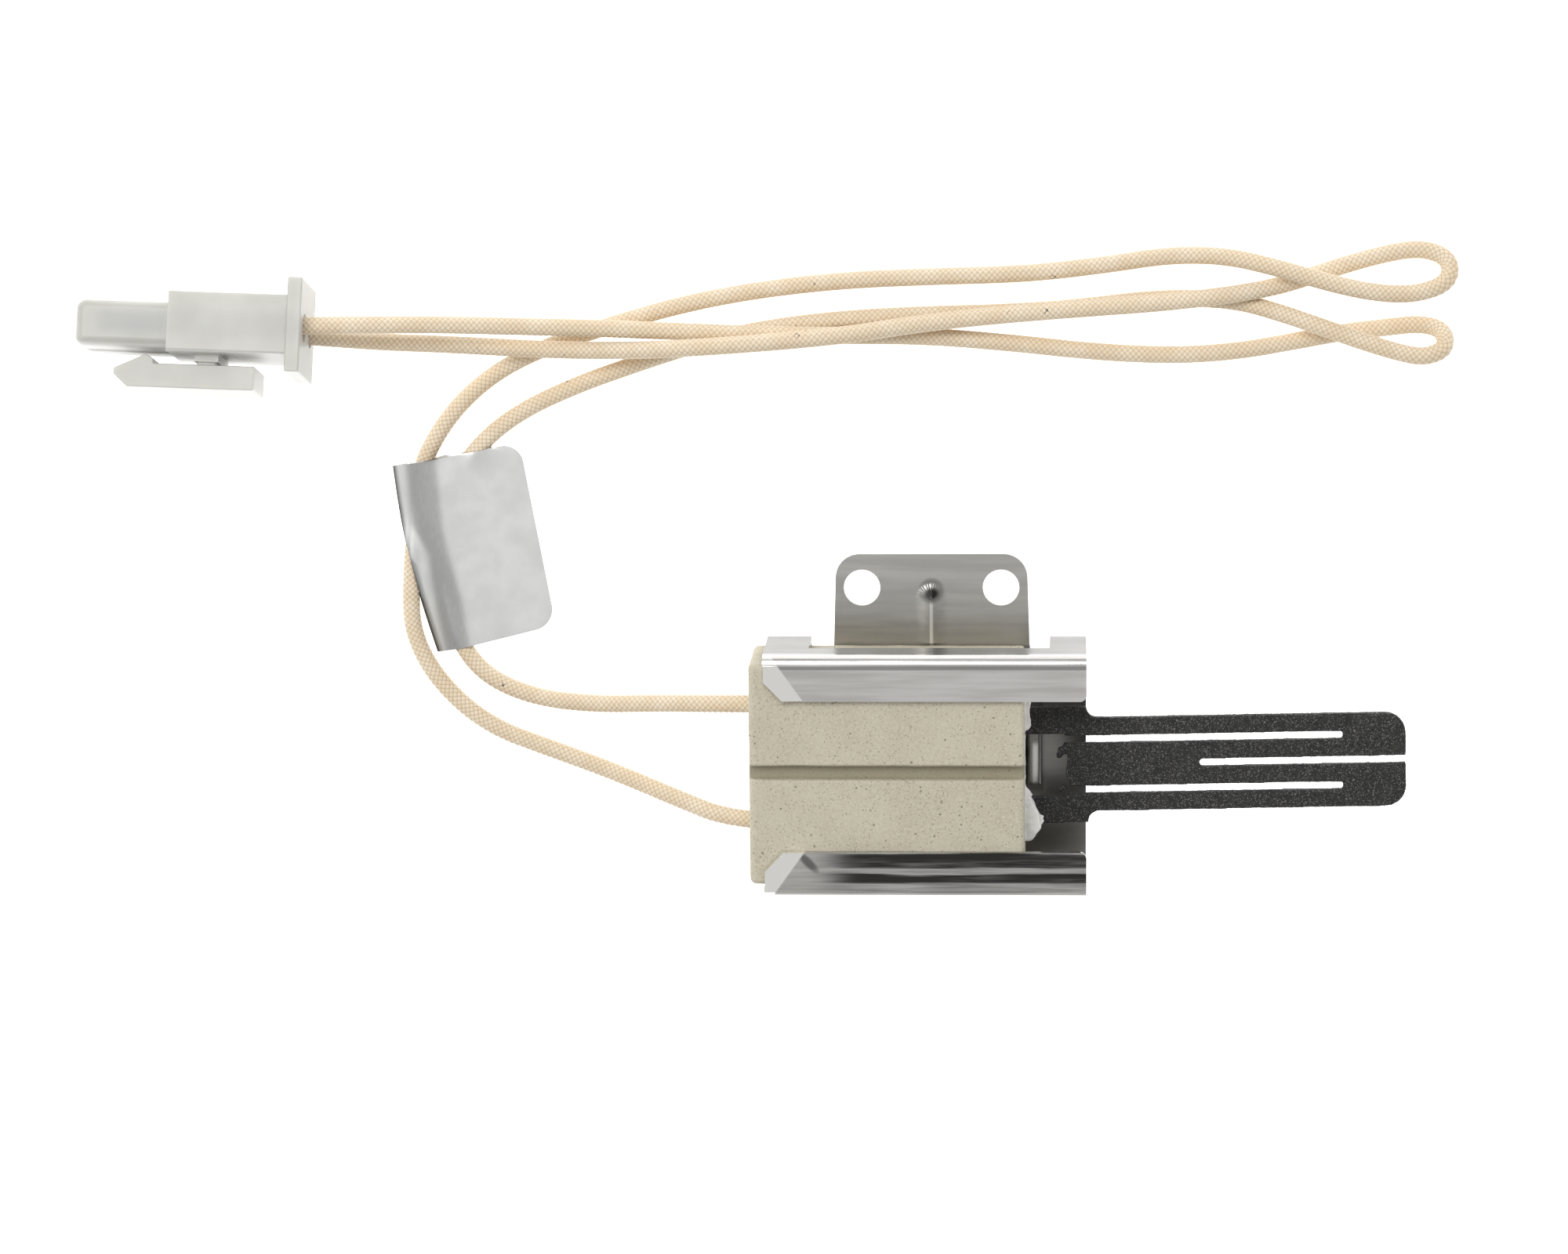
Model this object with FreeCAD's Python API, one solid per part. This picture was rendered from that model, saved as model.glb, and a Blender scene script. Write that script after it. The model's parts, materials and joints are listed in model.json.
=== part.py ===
import FreeCAD, Part
import math
import os

# Hot-surface gas igniter: a slotted silicon-carbide element cemented into a ceramic block,
# which a formed steel bracket grips, with two braided leads that end in a two-way plug.
#
# Millimetres. The origin is midway between the two mounting holes, on the bracket's rear
# face. +X points at the element's tip, +Y at the tab's free edge and +Z out of the bracket's
# front. The rear face lies on the surface Z = 0, and the leads and the plug lie beside it.

os.makedirs("parts", exist_ok=True)
Vector = FreeCAD.Vector

# Bracket: one formed sheet
sheet = 0.9
channel_left, channel_right = -22.5, 21.15
channel_bottom, channel_top = -39.9, -6.7
channel_depth = 16.6
bend_radius = 1.4
lip_width = 6.2
lip_flare = 8.0            # degrees that each lip's entry corner is bent outwards
window_left, window_right = -16.5, 16.2
window_depth = 10.2        # the tab is cut from the top wall up to this height
channel_middle = (channel_bottom + channel_top) / 2

# Mounting tab
hole_spacing = 19.05
hole_radius = 2.5
tab_half_root, tab_half_top = 13.45, 13.05
tab_top = 4.65
tab_corner = 3.3
relief_radius = 1.4
rib_half_width, rib_height = 2.3, 1.0
rib_low, rib_high = -7.6, -1.4
stop_box = (12.95, 15.05, -27.3, -17.0)
stop_height = 1.6

# Ceramic block
block_left, block_right = -24.5, 12.8
block_bottom, block_top = -38.5, -7.9
block_rear, block_front = sheet, 15.7
block_round = 0.9
groove_y, groove_half, groove_depth = -22.95, 1.0, 1.3
pocket_left = -17.0
pocket_bottom, pocket_top = -33.3, -13.1
pocket_rear, pocket_front = 5.4, 11.4
lead_hole_radius = 1.6
flare, flare_length = 0.9, 1.5      # where each lead hole opens in the left face
rim_chamfer = 0.35

# Heating element, drawn along X and then turned a little about its root
element_middle = -23.25
element_z = 8.4
element_thickness = 1.2
element_skew = 1.1         # degrees
element_root, element_tip = 2.0, 64.5
leg_width, slot_width = 2.45, 1.05
ear_half, ear_inner = 8.05, 4.3
ear_end = 21.3
ear_fillet = 1.5
outer_slot_end, middle_slot_start = 56.0, 36.5
middle_leg_start = 18.6
tip_round = 2.8

# Joints between the element and the leads, inside the block
contact_wall = 0.3
contact_length = 3.6
wire_radius = 0.4
crimp_left, crimp_middle, crimp_right = -11.0, -8.0, -5.0
wire_straight = 2.0        # of each lead-in wire, before its splice
crimp_radius = 1.25
conductor_radius = 0.85

# Leads
lead_diameter = 2.4
lead_exit_z = 8.3
upper_lead_y, lower_lead_y = -14.8, -31.3

# Plug, drawn along its own u, v, w axes: u towards the wires, w towards the viewer
plug_origin = Vector(-101.95, 37.35, 9.4)
plug_yaw, plug_roll = -2.2, 14.5      # degrees
circuit_pitch = 6.35
body_length, body_half_v, body_half_w = 16.0, 4.05, 7.1
nose_length, nose_low, nose_high = 12.6, -3.6, 2.7
silo_half_w, silo_round = 2.9, 1.3
flange_thickness, flange_half_w = 2.0, 7.4
flange_top, flange_low = 6.45, -6.4
bore_radius, mouth_radius, mouth_depth = 1.95, 1.35, 1.6
pillar_start, pillar_end, pillar_tip, pillar_half_w = 3.6, 6.8, -5.2, 4.95
arm_half_w = 4.95
arm_profile = [(-7.3, -6.4), (-2.95, -4.35), (-1.95, -5.0), (-1.95, -5.6), (11.8, -5.6),
               (11.8, -8.9), (-5.4, -8.9), (-7.3, -7.2)]
terminal_radius, terminal_bore = 1.5, 0.95
terminal_mouth, terminal_shoulder, terminal_neck = -9.6, 3.5, 7.0
lead_stop = 13.0

# Foil tag, folded round the upper lead
tag_outline = [(-73.7, 17.1), (-59.1, 19.8), (-57.2, 19.1), (-56.0, 17.3), (-52.0, -2.9),
               (-52.3, -4.5), (-53.8, -5.7), (-68.1, -8.9), (-71.7, 4.1)]
tag_thickness = 0.3
tag_left_z, tag_slope = 2.82, -0.105
tag_clearance = 0.1

# Routes of the two leads, from inside the block to inside the plug
lower_route = [
    (-17.0, -31.3, 8.3), (-26.8, -31.3, 8.3), (-35.9, -28.3, 4.9), (-43.9, -25.7, 1.4),
    (-52.0, -22.7, 1.25), (-61.2, -19.3, 1.25), (-68.0, -13.2, 1.25), (-71.6, -6.3, 1.25),
    (-71.6, 1.3, 1.25), (-70.8, 8.7, 1.25), (-70.3, 16.4, 1.25), (-66.1, 23.9, 1.25),
    (-60.2, 29.5, 1.25), (-53.1, 33.2, 1.25), (-45.0, 35.9, 1.25), (-35.8, 38.7, 1.25),
    (-25.2, 40.9, 1.25), (-12.4, 42.4, 1.25), (0.4, 42.9, 1.25), (13.2, 43.2, 1.25),
    (23.8, 44.4, 1.25), (32.2, 45.7, 1.25), (39.6, 45.7, 2.0), (46.1, 44.5, 4.3),
    (55.0, 41.9, 4.9), (61.1, 40.7, 4.6), (65.9, 40.7, 4.2), (69.9, 42.2, 3.8),
    (70.1, 45.2, 2.2), (66.4, 46.6, 1.5), (61.3, 45.8, 1.25), (54.3, 43.8, 1.25),
    (48.1, 41.7, 1.9), (40.8, 40.6, 3.95), (31.1, 39.5, 4.0), (20.6, 38.8, 4.0),
    (8.9, 37.9, 4.0), (-1.7, 36.8, 4.2), (-11.2, 35.5, 5.8), (-19.6, 34.8, 6.7),
    (-30.3, 34.0, 6.6), (-41.0, 33.3, 4.9), (-52.8, 33.4, 4.1), (-64.5, 34.2, 4.6),
    (-77.4, 34.9, 6.3), (-88.85, 36.0, 6.3)]
upper_route = [
    (-17.0, -14.8, 8.3), (-27.5, -14.8, 8.3), (-37.4, -15.4, 4.7), (-46.8, -16.2, 1.5),
    (-55.1, -15.2, 1.25), (-61.7, -12.1, 1.4), (-65.3, -7.0, 1.5), (-66.7, -0.5, 1.5),
    (-67.4, 6.3, 1.5), (-66.2, 13.3, 1.5), (-62.4, 19.5, 1.4), (-56.5, 24.4, 1.25),
    (-48.3, 28.2, 1.25), (-39.7, 31.2, 1.25), (-31.4, 33.9, 1.25), (-22.5, 35.9, 1.25),
    (-12.4, 37.1, 1.25), (-1.7, 37.7, 1.25), (8.9, 37.9, 1.25), (19.5, 38.5, 1.25),
    (28.0, 39.6, 1.25), (35.4, 39.9, 1.25), (41.8, 39.4, 1.25), (46.9, 38.1, 2.6),
    (51.5, 36.7, 4.2), (58.1, 34.4, 4.9), (63.0, 32.9, 5.3), (66.6, 32.2, 5.5),
    (69.6, 33.3, 4.6), (69.3, 35.6, 2.1), (66.1, 36.3, 1.3), (61.9, 35.8, 1.25),
    (56.1, 35.2, 1.25), (49.2, 33.9, 1.25), (41.8, 32.6, 1.25), (33.3, 32.0, 1.25),
    (22.7, 32.5, 1.25), (11.0, 33.8, 1.25), (0.4, 34.7, 1.3), (-8.1, 35.0, 2.3),
    (-16.6, 35.2, 3.85), (-26.1, 35.5, 4.05), (-35.7, 35.9, 4.0), (-46.3, 36.4, 4.4),
    (-56.8, 36.9, 6.4), (-66.0, 37.5, 9.2), (-77.6, 37.9, 12.2), (-88.82, 37.7, 12.5)]

nodes = {}


def box(x0, x1, y0, y1, z0, z1):
    return Part.makeBox(x1 - x0, y1 - y0, z1 - z0, Vector(x0, y0, z0))


def prism(points, height):
    """The closed outline through the points, pushed along the height vector."""
    outline = Part.makePolygon([Vector(*p) for p in points + points[:1]])
    return Part.Face(outline).extrude(height)


def plate(outline, z, thickness):
    """A flat plate with an outline in X and Y, from z upwards."""
    return prism([(x, y, z) for x, y in outline], Vector(0, 0, thickness))


def rod(start, end, radius):
    along = Vector(*end) - Vector(*start)
    return Part.makeCylinder(radius, along.Length, Vector(*start), along)


def edges_along(shape, axis, wanted=lambda middle: True):
    """The straight edges that run along an axis (0, 1, 2), where wanted says yes to their middle."""
    found = []
    for edge in shape.Edges:
        if len(edge.Vertexes) == 2 and isinstance(edge.Curve, Part.Line):
            span = edge.Vertexes[1].Point - edge.Vertexes[0].Point
            if abs(abs(span[axis]) - span.Length) < 1e-6 and wanted(edge.CenterOfMass):
                found.append(edge)
    return found


def tube_path(route):
    """Straight runs joined by tangent arcs, each as large as its two runs allow."""
    points = [Vector(*p) for p in route]
    edges = []
    radii = []
    last = points[0]
    for before, corner, after in zip(points, points[1:], points[2:]):
        run_in, run_out = corner - before, after - corner
        turn = run_in.getAngle(run_out)
        reach = 0.45 * min(run_in.Length, run_out.Length)
        radius = reach / math.tan(turn / 2)
        run_in.normalize()
        run_out.normalize()
        arc_start, arc_end = corner - run_in * reach, corner + run_out * reach
        inward = (run_out - run_in).normalize()
        arc_middle = corner + inward * (radius / math.cos(turn / 2) - radius)
        edges.append(Part.LineSegment(last, arc_start).toShape())
        edges.append(Part.Arc(arc_start, arc_middle, arc_end).toShape())
        radii.append(radius)
        last = arc_end
    edges.append(Part.LineSegment(last, points[-1]).toShape())
    return Part.Wire(edges), radii


def tube(route, radius):
    path, radii = tube_path(route)
    along = Vector(*route[1]) - Vector(*route[0])
    section = Part.Wire(Part.makeCircle(radius, Vector(*route[0]), along))
    solid = path.makePipeShell([section], True, False)
    return solid, path.Length, radii


def lead(name, route):
    """A round tube along its route, with its volume checked against section times length."""
    solid, length, radii = tube(route, lead_diameter / 2)
    expected = math.pi * lead_diameter ** 2 / 4 * length
    print(name, "length %.1f" % length, "volume ratio %.4f" % (solid.Volume / expected))
    print(name, "radii", " ".join("%.1f" % radius for radius in radii))
    return solid


def lip_entry():
    """The upper lip's entry corner: cut at an angle and bent outwards along a crease."""
    free_edge = channel_top - lip_width
    crease_top = (channel_left + 2.1, channel_top - bend_radius)
    crease_low = (channel_left + 5.5, free_edge)
    inner = channel_depth - sheet
    corner = plate([(channel_left, crease_top[1]), crease_top, crease_low,
                    (channel_left + 2.5, free_edge), (channel_left, free_edge + 2.6)],
                   inner, sheet)
    crease = Vector(*crease_low, 0) - Vector(*crease_top, 0)
    corner.rotate(Vector(*crease_top, inner), crease, -lip_flare)
    cleared = plate([(channel_left - 1, crease_top[1]), crease_top, crease_low,
                     (crease_low[0], free_edge - 1), (channel_left - 1, free_edge - 1)],
                    inner - 0.5, sheet + 1)
    return corner, cleared


def rib_form(base):
    """The pressed rib: a ridge along Y that ends in a rounded point."""
    ridge = prism([(-rib_half_width, rib_low, base), (0, rib_low, base + rib_height),
                   (rib_half_width, rib_low, base)], Vector(0, rib_high - rib_low, 0))
    end = Part.makeCone(rib_half_width, 0, rib_height, Vector(0, rib_high, base))
    return ridge.fuse(end)


def mounting_bracket():
    outer = box(channel_left, channel_right, channel_bottom, channel_top, 0, channel_depth)
    outer = outer.makeFillet(bend_radius, edges_along(outer, 0))
    inner = box(channel_left - 1, channel_right + 1, channel_bottom + sheet,
                channel_top - sheet, sheet, channel_depth - sheet)
    inner = inner.makeFillet(bend_radius - sheet, edges_along(inner, 0))
    mouth = box(channel_left - 1, channel_right + 1, channel_bottom + lip_width,
                channel_top - lip_width, channel_depth - 2, channel_depth + 1)
    channel = outer.cut(inner).cut(mouth)
    free_corners = edges_along(channel, 2, lambda middle: middle.x > channel_right - 0.1
                               and abs(middle.y - channel_middle) < 11)
    channel = channel.makeFillet(sheet, free_corners)
    entry, cleared = lip_entry()
    mirror_at, mirror_across = Vector(0, channel_middle, 0), Vector(0, 1, 0)
    for corner, space in ((entry, cleared), (entry.mirror(mirror_at, mirror_across),
                                             cleared.mirror(mirror_at, mirror_across))):
        channel = channel.cut(space).fuse(corner)
    root = channel_top - bend_radius
    channel = channel.cut(box(window_left, window_right, root, channel_top + 1, -1, window_depth))
    tab = plate([(-tab_half_root, root - 1), (tab_half_root, root - 1),
                 (tab_half_top, tab_top), (-tab_half_top, tab_top)], 0, sheet)
    tab = tab.makeFillet(tab_corner, edges_along(tab, 2, lambda middle: middle.y > 0))
    bracket = channel.fuse(tab)
    for side, wall in ((-1, window_left), (1, window_right)):
        middle = side * (tab_half_root + abs(wall)) / 2
        radius = abs(abs(wall) - tab_half_root) / 2
        bracket = bracket.cut(rod((middle, root, -1), (middle, root, 2), radius))
    for side in (-1, 1):
        x = side * hole_spacing / 2
        bracket = bracket.cut(rod((x, 0, -1), (x, 0, 2), hole_radius))
    bracket = bracket.fuse(rib_form(sheet)).cut(rib_form(0))
    left, right, low, high = stop_box
    stop = box(left, right, low, high, 0, sheet + stop_height)
    stop = stop.makeFillet(0.6, [edge for edge in stop.Edges
                                 if edge.BoundBox.ZMin > sheet + stop_height - 0.01])
    dent = box(left + sheet * 0.6, right - sheet * 0.6, low + sheet, high - sheet, -1, stop_height)
    return bracket.fuse(stop).cut(dent).removeSplitter()


def groove(face_z, inward):
    wide, narrow = groove_half, groove_half - 0.2
    depth = inward * groove_depth
    section = [(block_left - 1, groove_y - wide, face_z - depth * 0.1),
               (block_left - 1, groove_y - narrow, face_z + depth),
               (block_left - 1, groove_y + narrow, face_z + depth),
               (block_left - 1, groove_y + wide, face_z - depth * 0.1)]
    return prism(section, Vector(block_right - block_left + 2, 0, 0))


def pocket():
    return box(pocket_left, block_right, pocket_bottom, pocket_top, pocket_rear, pocket_front)


def ceramic_block():
    block = box(block_left, block_right, block_bottom, block_top, block_rear, block_front)
    soft = edges_along(block, 0) + [edge for edge in block.Edges
                                    if edge.BoundBox.XMax < block_left + 0.01]
    block = block.makeFillet(block_round, soft)
    rim = [edge for edge in block.Edges if edge.BoundBox.XMin > block_right - 0.01]
    block = block.makeChamfer(rim_chamfer, rim)
    block = block.cut(groove(block_front, -1)).cut(groove(block_rear, 1)).cut(pocket())
    for y in (upper_lead_y, lower_lead_y):
        block = block.cut(rod((block_left - 1, y, lead_exit_z), (pocket_left, y, lead_exit_z),
                              lead_hole_radius))
        block = block.cut(Part.makeCone(lead_hole_radius + flare, lead_hole_radius, flare_length,
                                        Vector(block_left, y, lead_exit_z), Vector(1, 0, 0)))
    return block


def turned(shape):
    """The element's small turn about the block's mouth, from how it was cemented in."""
    shape.rotate(Vector(block_right, element_middle, 0), Vector(0, 0, 1), element_skew)
    return shape


def heating_element():
    half = 2 * leg_width + 1.5 * slot_width
    slot_y = slot_width + leg_width
    flat = [(element_root, -ear_half), (ear_end, -ear_half), (ear_end, -half),
            (element_tip, -half), (element_tip, half), (ear_end, half),
            (ear_end, ear_half), (element_root, ear_half)]
    bottom = element_z - element_thickness / 2
    blank = plate([(x, element_middle + y) for x, y in flat], bottom, element_thickness)
    tips = edges_along(blank, 2, lambda middle: middle.x > element_tip - 0.1)
    blank = blank.makeFillet(tip_round, tips)
    inner_corners = edges_along(blank, 2, lambda middle: abs(middle.x - ear_end) < 0.1
                                and abs(abs(middle.y - element_middle) - half) < 0.1)
    blank = blank.makeFillet(ear_fillet - 0.05, inner_corners)
    low, high = bottom - 1, bottom + element_thickness + 1
    for side in (-1, 1):
        middle = element_middle + side * slot_y
        slot = box(middle_leg_start - 2, outer_slot_end, middle - slot_width / 2,
                   middle + slot_width / 2, low, high)
        ends = edges_along(slot, 2, lambda point: point.x > outer_slot_end - 0.1)
        blank = blank.cut(slot.makeFillet(0.3, ends))
    middle_slot = box(middle_slot_start, element_tip + 1, element_middle - slot_width / 2,
                      element_middle + slot_width / 2, low, high)
    ends = edges_along(middle_slot, 2, lambda point: point.x < middle_slot_start + 0.1)
    blank = blank.cut(middle_slot.makeFillet(slot_width * 0.45, ends))
    break_line = [(0, -1), (0.35, -0.62), (-0.25, -0.3), (0.1, 0.25), (-0.5, 0.6), (-0.15, 1)]
    rough = [(middle_leg_start + dx, element_middle + dy * ear_inner) for dx, dy in break_line]
    rough += [(element_root - 1, element_middle + ear_inner),
              (element_root - 1, element_middle - ear_inner)]
    return turned(blank.cut(plate(rough, low, high - low)))


def leg_contact(side):
    """The metallised cap that closes over one leg's root."""
    low, high = sorted((element_middle + side * ear_inner, element_middle + side * ear_half))
    wall = contact_wall
    rear, front = element_z - element_thickness / 2, element_z + element_thickness / 2
    cap = box(element_root - 1, element_root + contact_length, low - wall, high + wall,
              rear - wall, front + wall)
    return turned(cap.cut(box(element_root, element_root + 9, low, high, rear, front)))


def lead_in_wire(side, lead_y):
    """The wire from a leg's cap to its splice, set over sideways in the cement."""
    ear_y = element_middle + side * (ear_inner + ear_half) / 2
    start = turned(Part.Vertex(element_root - 1, ear_y, element_z)).Point
    route = [tuple(start), (start.x - 1.5, start.y, element_z),
             (crimp_right + wire_straight, lead_y, lead_exit_z), (crimp_middle, lead_y, lead_exit_z)]
    return tube(route, wire_radius)[0]


def splice_crimp(lead_y):
    barrel = rod((crimp_left, lead_y, lead_exit_z), (crimp_right, lead_y, lead_exit_z), crimp_radius)
    wire_side = rod((crimp_middle, lead_y, lead_exit_z), (crimp_right, lead_y, lead_exit_z), wire_radius)
    lead_side = rod((crimp_left, lead_y, lead_exit_z), (crimp_middle, lead_y, lead_exit_z),
                    conductor_radius)
    pinch = box(crimp_left + 1.8, crimp_left + 3.4, lead_y - crimp_radius, lead_y + crimp_radius,
                lead_exit_z + crimp_radius - 0.25, lead_exit_z + crimp_radius + 1)
    return barrel.cut(wire_side).cut(lead_side).cut(pinch)


def block_conductor(lead_y):
    """The lead's bared strands, from the end of its sleeve to the middle of the splice."""
    return rod((pocket_left, lead_y, lead_exit_z), (crimp_middle, lead_y, lead_exit_z), conductor_radius)


def potting_cement(buried):
    """The cement that fills the pocket and swells out of its mouth round the two ears."""
    middle = (pocket_rear + pocket_front) / 2
    upper = plate([(block_right, -18.0), (block_right + 0.9, -17.5), (block_right + 0.6, -15.5),
                   (block_right + 0.8, -14.0), (block_right, -13.2)], middle - 2.2, 4.4)
    lower = plate([(block_right, -33.3), (block_right + 1.0, -33.2), (block_right + 2.2, -31.6),
                   (block_right + 1.9, -29.6), (block_right + 0.9, -27.6), (block_right, -26.6)],
                  middle - 2.6, 5.2)
    cement = pocket().fuse(upper).fuse(lower)
    for shape in buried:
        cement = cement.cut(shape)
    return max(cement.Solids, key=lambda solid: solid.Volume)


def plug_place():
    turn = FreeCAD.Rotation(Vector(0, 0, 1), plug_yaw)
    return FreeCAD.Placement(plug_origin, turn.multiply(FreeCAD.Rotation(Vector(1, 0, 0), -plug_roll)))


def in_plug(shape):
    placed = shape.copy()
    placed.Placement = plug_place().multiply(placed.Placement)
    return placed


def circuit_w(side):
    return side * circuit_pitch / 2


def plug_housing():
    body = box(0, body_length, -body_half_v, body_half_v, -body_half_w, body_half_w)
    body = body.makeFillet(0.35, edges_along(body, 0))
    for side in (-1, 1):
        w = circuit_w(side)
        silo = box(-nose_length, 1, nose_low, nose_high, w - silo_half_w, w + silo_half_w)
        tip = [edge for edge in silo.Edges if edge.BoundBox.XMax < -nose_length + 0.01]
        silo = silo.makeFillet(silo_round, tip + edges_along(silo, 0))
        body = body.fuse(silo)
    flange_end = body_length + flange_thickness
    flange = box(body_length, flange_end, flange_low, flange_top, -flange_half_w, flange_half_w)
    pillar = box(pillar_start, pillar_end, pillar_tip, -body_half_v + 0.5, -pillar_half_w, pillar_half_w)
    body = body.fuse(flange.makeFillet(0.25, flange.Edges)).fuse(pillar)
    for side in (-1, 1):
        w = circuit_w(side)
        body = body.cut(rod((mouth_depth - nose_length, 0, w), (flange_end + 1, 0, w), bore_radius))
        body = body.cut(rod((-nose_length - 1, 0, w), (1, 0, w), mouth_radius))
    return in_plug(body.removeSplitter())


def latch_arm():
    """The rocker arm, clear of the pillar that it turns on."""
    points = [(u, v, -arm_half_w) for u, v in arm_profile]
    arm = prism(points, Vector(0, 0, 2 * arm_half_w))
    heel = edges_along(arm, 2, lambda middle: middle.y < -8.5)
    return in_plug(arm.makeFillet(0.4, heel))


def socket_terminal(side):
    w = circuit_w(side)
    barrel = rod((terminal_mouth, 0, w), (lead_stop, 0, w), terminal_radius)
    collar = rod((terminal_shoulder, 0, w), (terminal_shoulder + 0.9, 0, w), bore_radius)
    pin_bore = rod((terminal_mouth, 0, w), (terminal_shoulder - 1, 0, w), terminal_bore + 0.2)
    wire_bore = rod((terminal_neck, 0, w), (lead_stop, 0, w), terminal_bore)
    slit = box(terminal_mouth, terminal_mouth + 5, -0.2, 0.2, w, w + terminal_radius + 1)
    return in_plug(barrel.fuse(collar).cut(pin_bore).cut(wire_bore).cut(slit))


def plug_conductor(side):
    w = circuit_w(side)
    return in_plug(rod((terminal_neck, 0, w), (lead_stop, 0, w), terminal_bore))


def foil_tag():
    """A doubled foil flag with a sleeve round the upper lead, lying over the lower lead."""
    left, right = tag_outline[0][0] - 2, tag_outline[4][0] + 2
    low, high = tag_outline[7][1] - 2, tag_outline[1][1] + 2
    drop = tag_slope * (right - left)
    flag = prism([(left, low, tag_left_z), (right, low, tag_left_z + drop),
                  (right, low, tag_left_z + drop + tag_thickness), (left, low, tag_left_z + tag_thickness)],
                 Vector(0, high - low, 0))
    held = upper_route[4:12]
    inner_radius = lead_diameter / 2 + tag_clearance
    sleeve = tube(held, inner_radius + tag_thickness / 2)[0]
    outline = plate(tag_outline, 0.02, 6)
    tag = flag.fuse(sleeve).common(outline)
    tag = tag.cut(tube(held, inner_radius)[0])
    tag = tag.cut(tube(lower_route[5:13], inner_radius)[0])
    return max(tag.Solids, key=lambda solid: solid.Volume)


nodes["mounting_bracket"] = mounting_bracket()
nodes["ceramic_block"] = ceramic_block()
nodes["heating_element"] = heating_element()
for name, side, lead_y in (("upper", 1, upper_lead_y), ("lower", -1, lower_lead_y)):
    nodes[name + "_leg_contact"] = leg_contact(side)
    nodes[name + "_lead_in_wire"] = lead_in_wire(side, lead_y)
    nodes[name + "_splice_crimp"] = splice_crimp(lead_y)
    nodes[name + "_block_conductor"] = block_conductor(lead_y)
nodes["potting_cement"] = potting_cement([nodes[name] for name in nodes
                                          if name not in ("mounting_bracket", "ceramic_block")])
nodes["lead_upper"] = lead("lead_upper", upper_route)
nodes["lead_lower"] = lead("lead_lower", lower_route)
nodes["foil_tag"] = foil_tag()
nodes["plug_housing"] = plug_housing()
nodes["latch_arm"] = latch_arm()
for name, side in (("near", 1), ("far", -1)):
    nodes[name + "_terminal"] = socket_terminal(side)
    nodes[name + "_plug_conductor"] = plug_conductor(side)

pivot = plug_place().multVec(Vector((pillar_start + pillar_end) / 2, pillar_tip - 0.2, 0))
hinge_axis = plug_place().Rotation.multVec(Vector(0, 0, 1))
print("latch pivot", pivot, "axis", hinge_axis)
for name, shape in nodes.items():
    shape.exportStep("parts/" + name + ".step")
    bounds = shape.BoundBox
    print("%-22s solids %d valid %s volume %9.2f  Z %.2f to %.2f" % (
        name, len(shape.Solids), shape.isValid(), shape.Volume, bounds.ZMin, bounds.ZMax))
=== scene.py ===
# %% [markdown]
# A hot-surface gas igniter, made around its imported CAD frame.
#
# On the real object a dark silicon-carbide blade is cemented into a ceramic block, a folded
# stainless bracket grips the block, and two braided leads run to a small nylon plug. The frame
# holds every size and joint. This lesson gives each piece its true surface: it loads the frame,
# lays the leads, then makes each finish and each piece in turn. All lengths are in metres.

import json
import math

import bmesh
import bpy
import numpy as np
from mathutils import Matrix, Vector, noise


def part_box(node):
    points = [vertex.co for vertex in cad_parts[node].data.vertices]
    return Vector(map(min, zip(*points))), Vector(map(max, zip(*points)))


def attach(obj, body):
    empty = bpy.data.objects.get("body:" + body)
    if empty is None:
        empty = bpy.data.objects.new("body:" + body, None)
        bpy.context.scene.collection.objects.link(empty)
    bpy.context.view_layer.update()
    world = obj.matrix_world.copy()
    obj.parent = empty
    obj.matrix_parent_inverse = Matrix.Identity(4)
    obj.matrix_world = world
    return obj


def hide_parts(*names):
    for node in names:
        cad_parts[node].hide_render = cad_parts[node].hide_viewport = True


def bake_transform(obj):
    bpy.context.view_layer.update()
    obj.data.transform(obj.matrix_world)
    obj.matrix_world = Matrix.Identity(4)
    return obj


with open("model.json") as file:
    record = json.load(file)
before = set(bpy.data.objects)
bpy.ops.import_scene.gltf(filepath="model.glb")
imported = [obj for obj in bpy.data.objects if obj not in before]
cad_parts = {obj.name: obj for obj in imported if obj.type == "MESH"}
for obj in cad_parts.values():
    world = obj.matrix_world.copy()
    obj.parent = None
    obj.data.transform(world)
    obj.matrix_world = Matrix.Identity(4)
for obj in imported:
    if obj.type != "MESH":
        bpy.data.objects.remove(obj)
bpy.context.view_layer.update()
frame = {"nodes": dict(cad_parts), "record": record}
cad = frame["nodes"]
mm = 0.001

# %% [markdown]
# The camera comes first, because the leads have to stay in its view. The igniter lies on its
# back and is seen almost from above, with the camera a little nearer to the leads' side than
# to the block's. A long lens from 0.74 m away keeps the sides nearly parallel, as in a
# catalogue picture.

# %% The camera
camera_at = Vector((0.0178, 0.1292, 0.7419))
camera_right = Vector((0.99872, -0.00903, -0.04969))
camera_up = Vector((0.0, 0.98388, -0.17884))
camera_data = bpy.data.cameras.new("view")
camera_data.lens = 126
camera_data.sensor_width = 36
camera = bpy.data.objects.new("view", camera_data)
bpy.context.scene.collection.objects.link(camera)
turn = Matrix((camera_right, camera_up, camera_right.cross(camera_up))).transposed()
camera.matrix_world = Matrix.Translation(camera_at) @ turn.to_4x4()
bpy.context.scene.camera = camera
bpy.context.scene.view_settings.view_transform = "Standard"
print("camera looks from", tuple(round(value, 3) for value in camera.location))

# %% [markdown]
# Each lead is one fixed length of braided sleeve. It leaves the block level, drops to the
# surface, runs out to a tight loop and comes back to the plug, lying over itself and its
# neighbour on the way. The points below are the control points of one smooth NURBS curve,
# so the sleeve has no corners. Where two leads cross, the upper one's points rise over the
# lower one and come down again.

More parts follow.
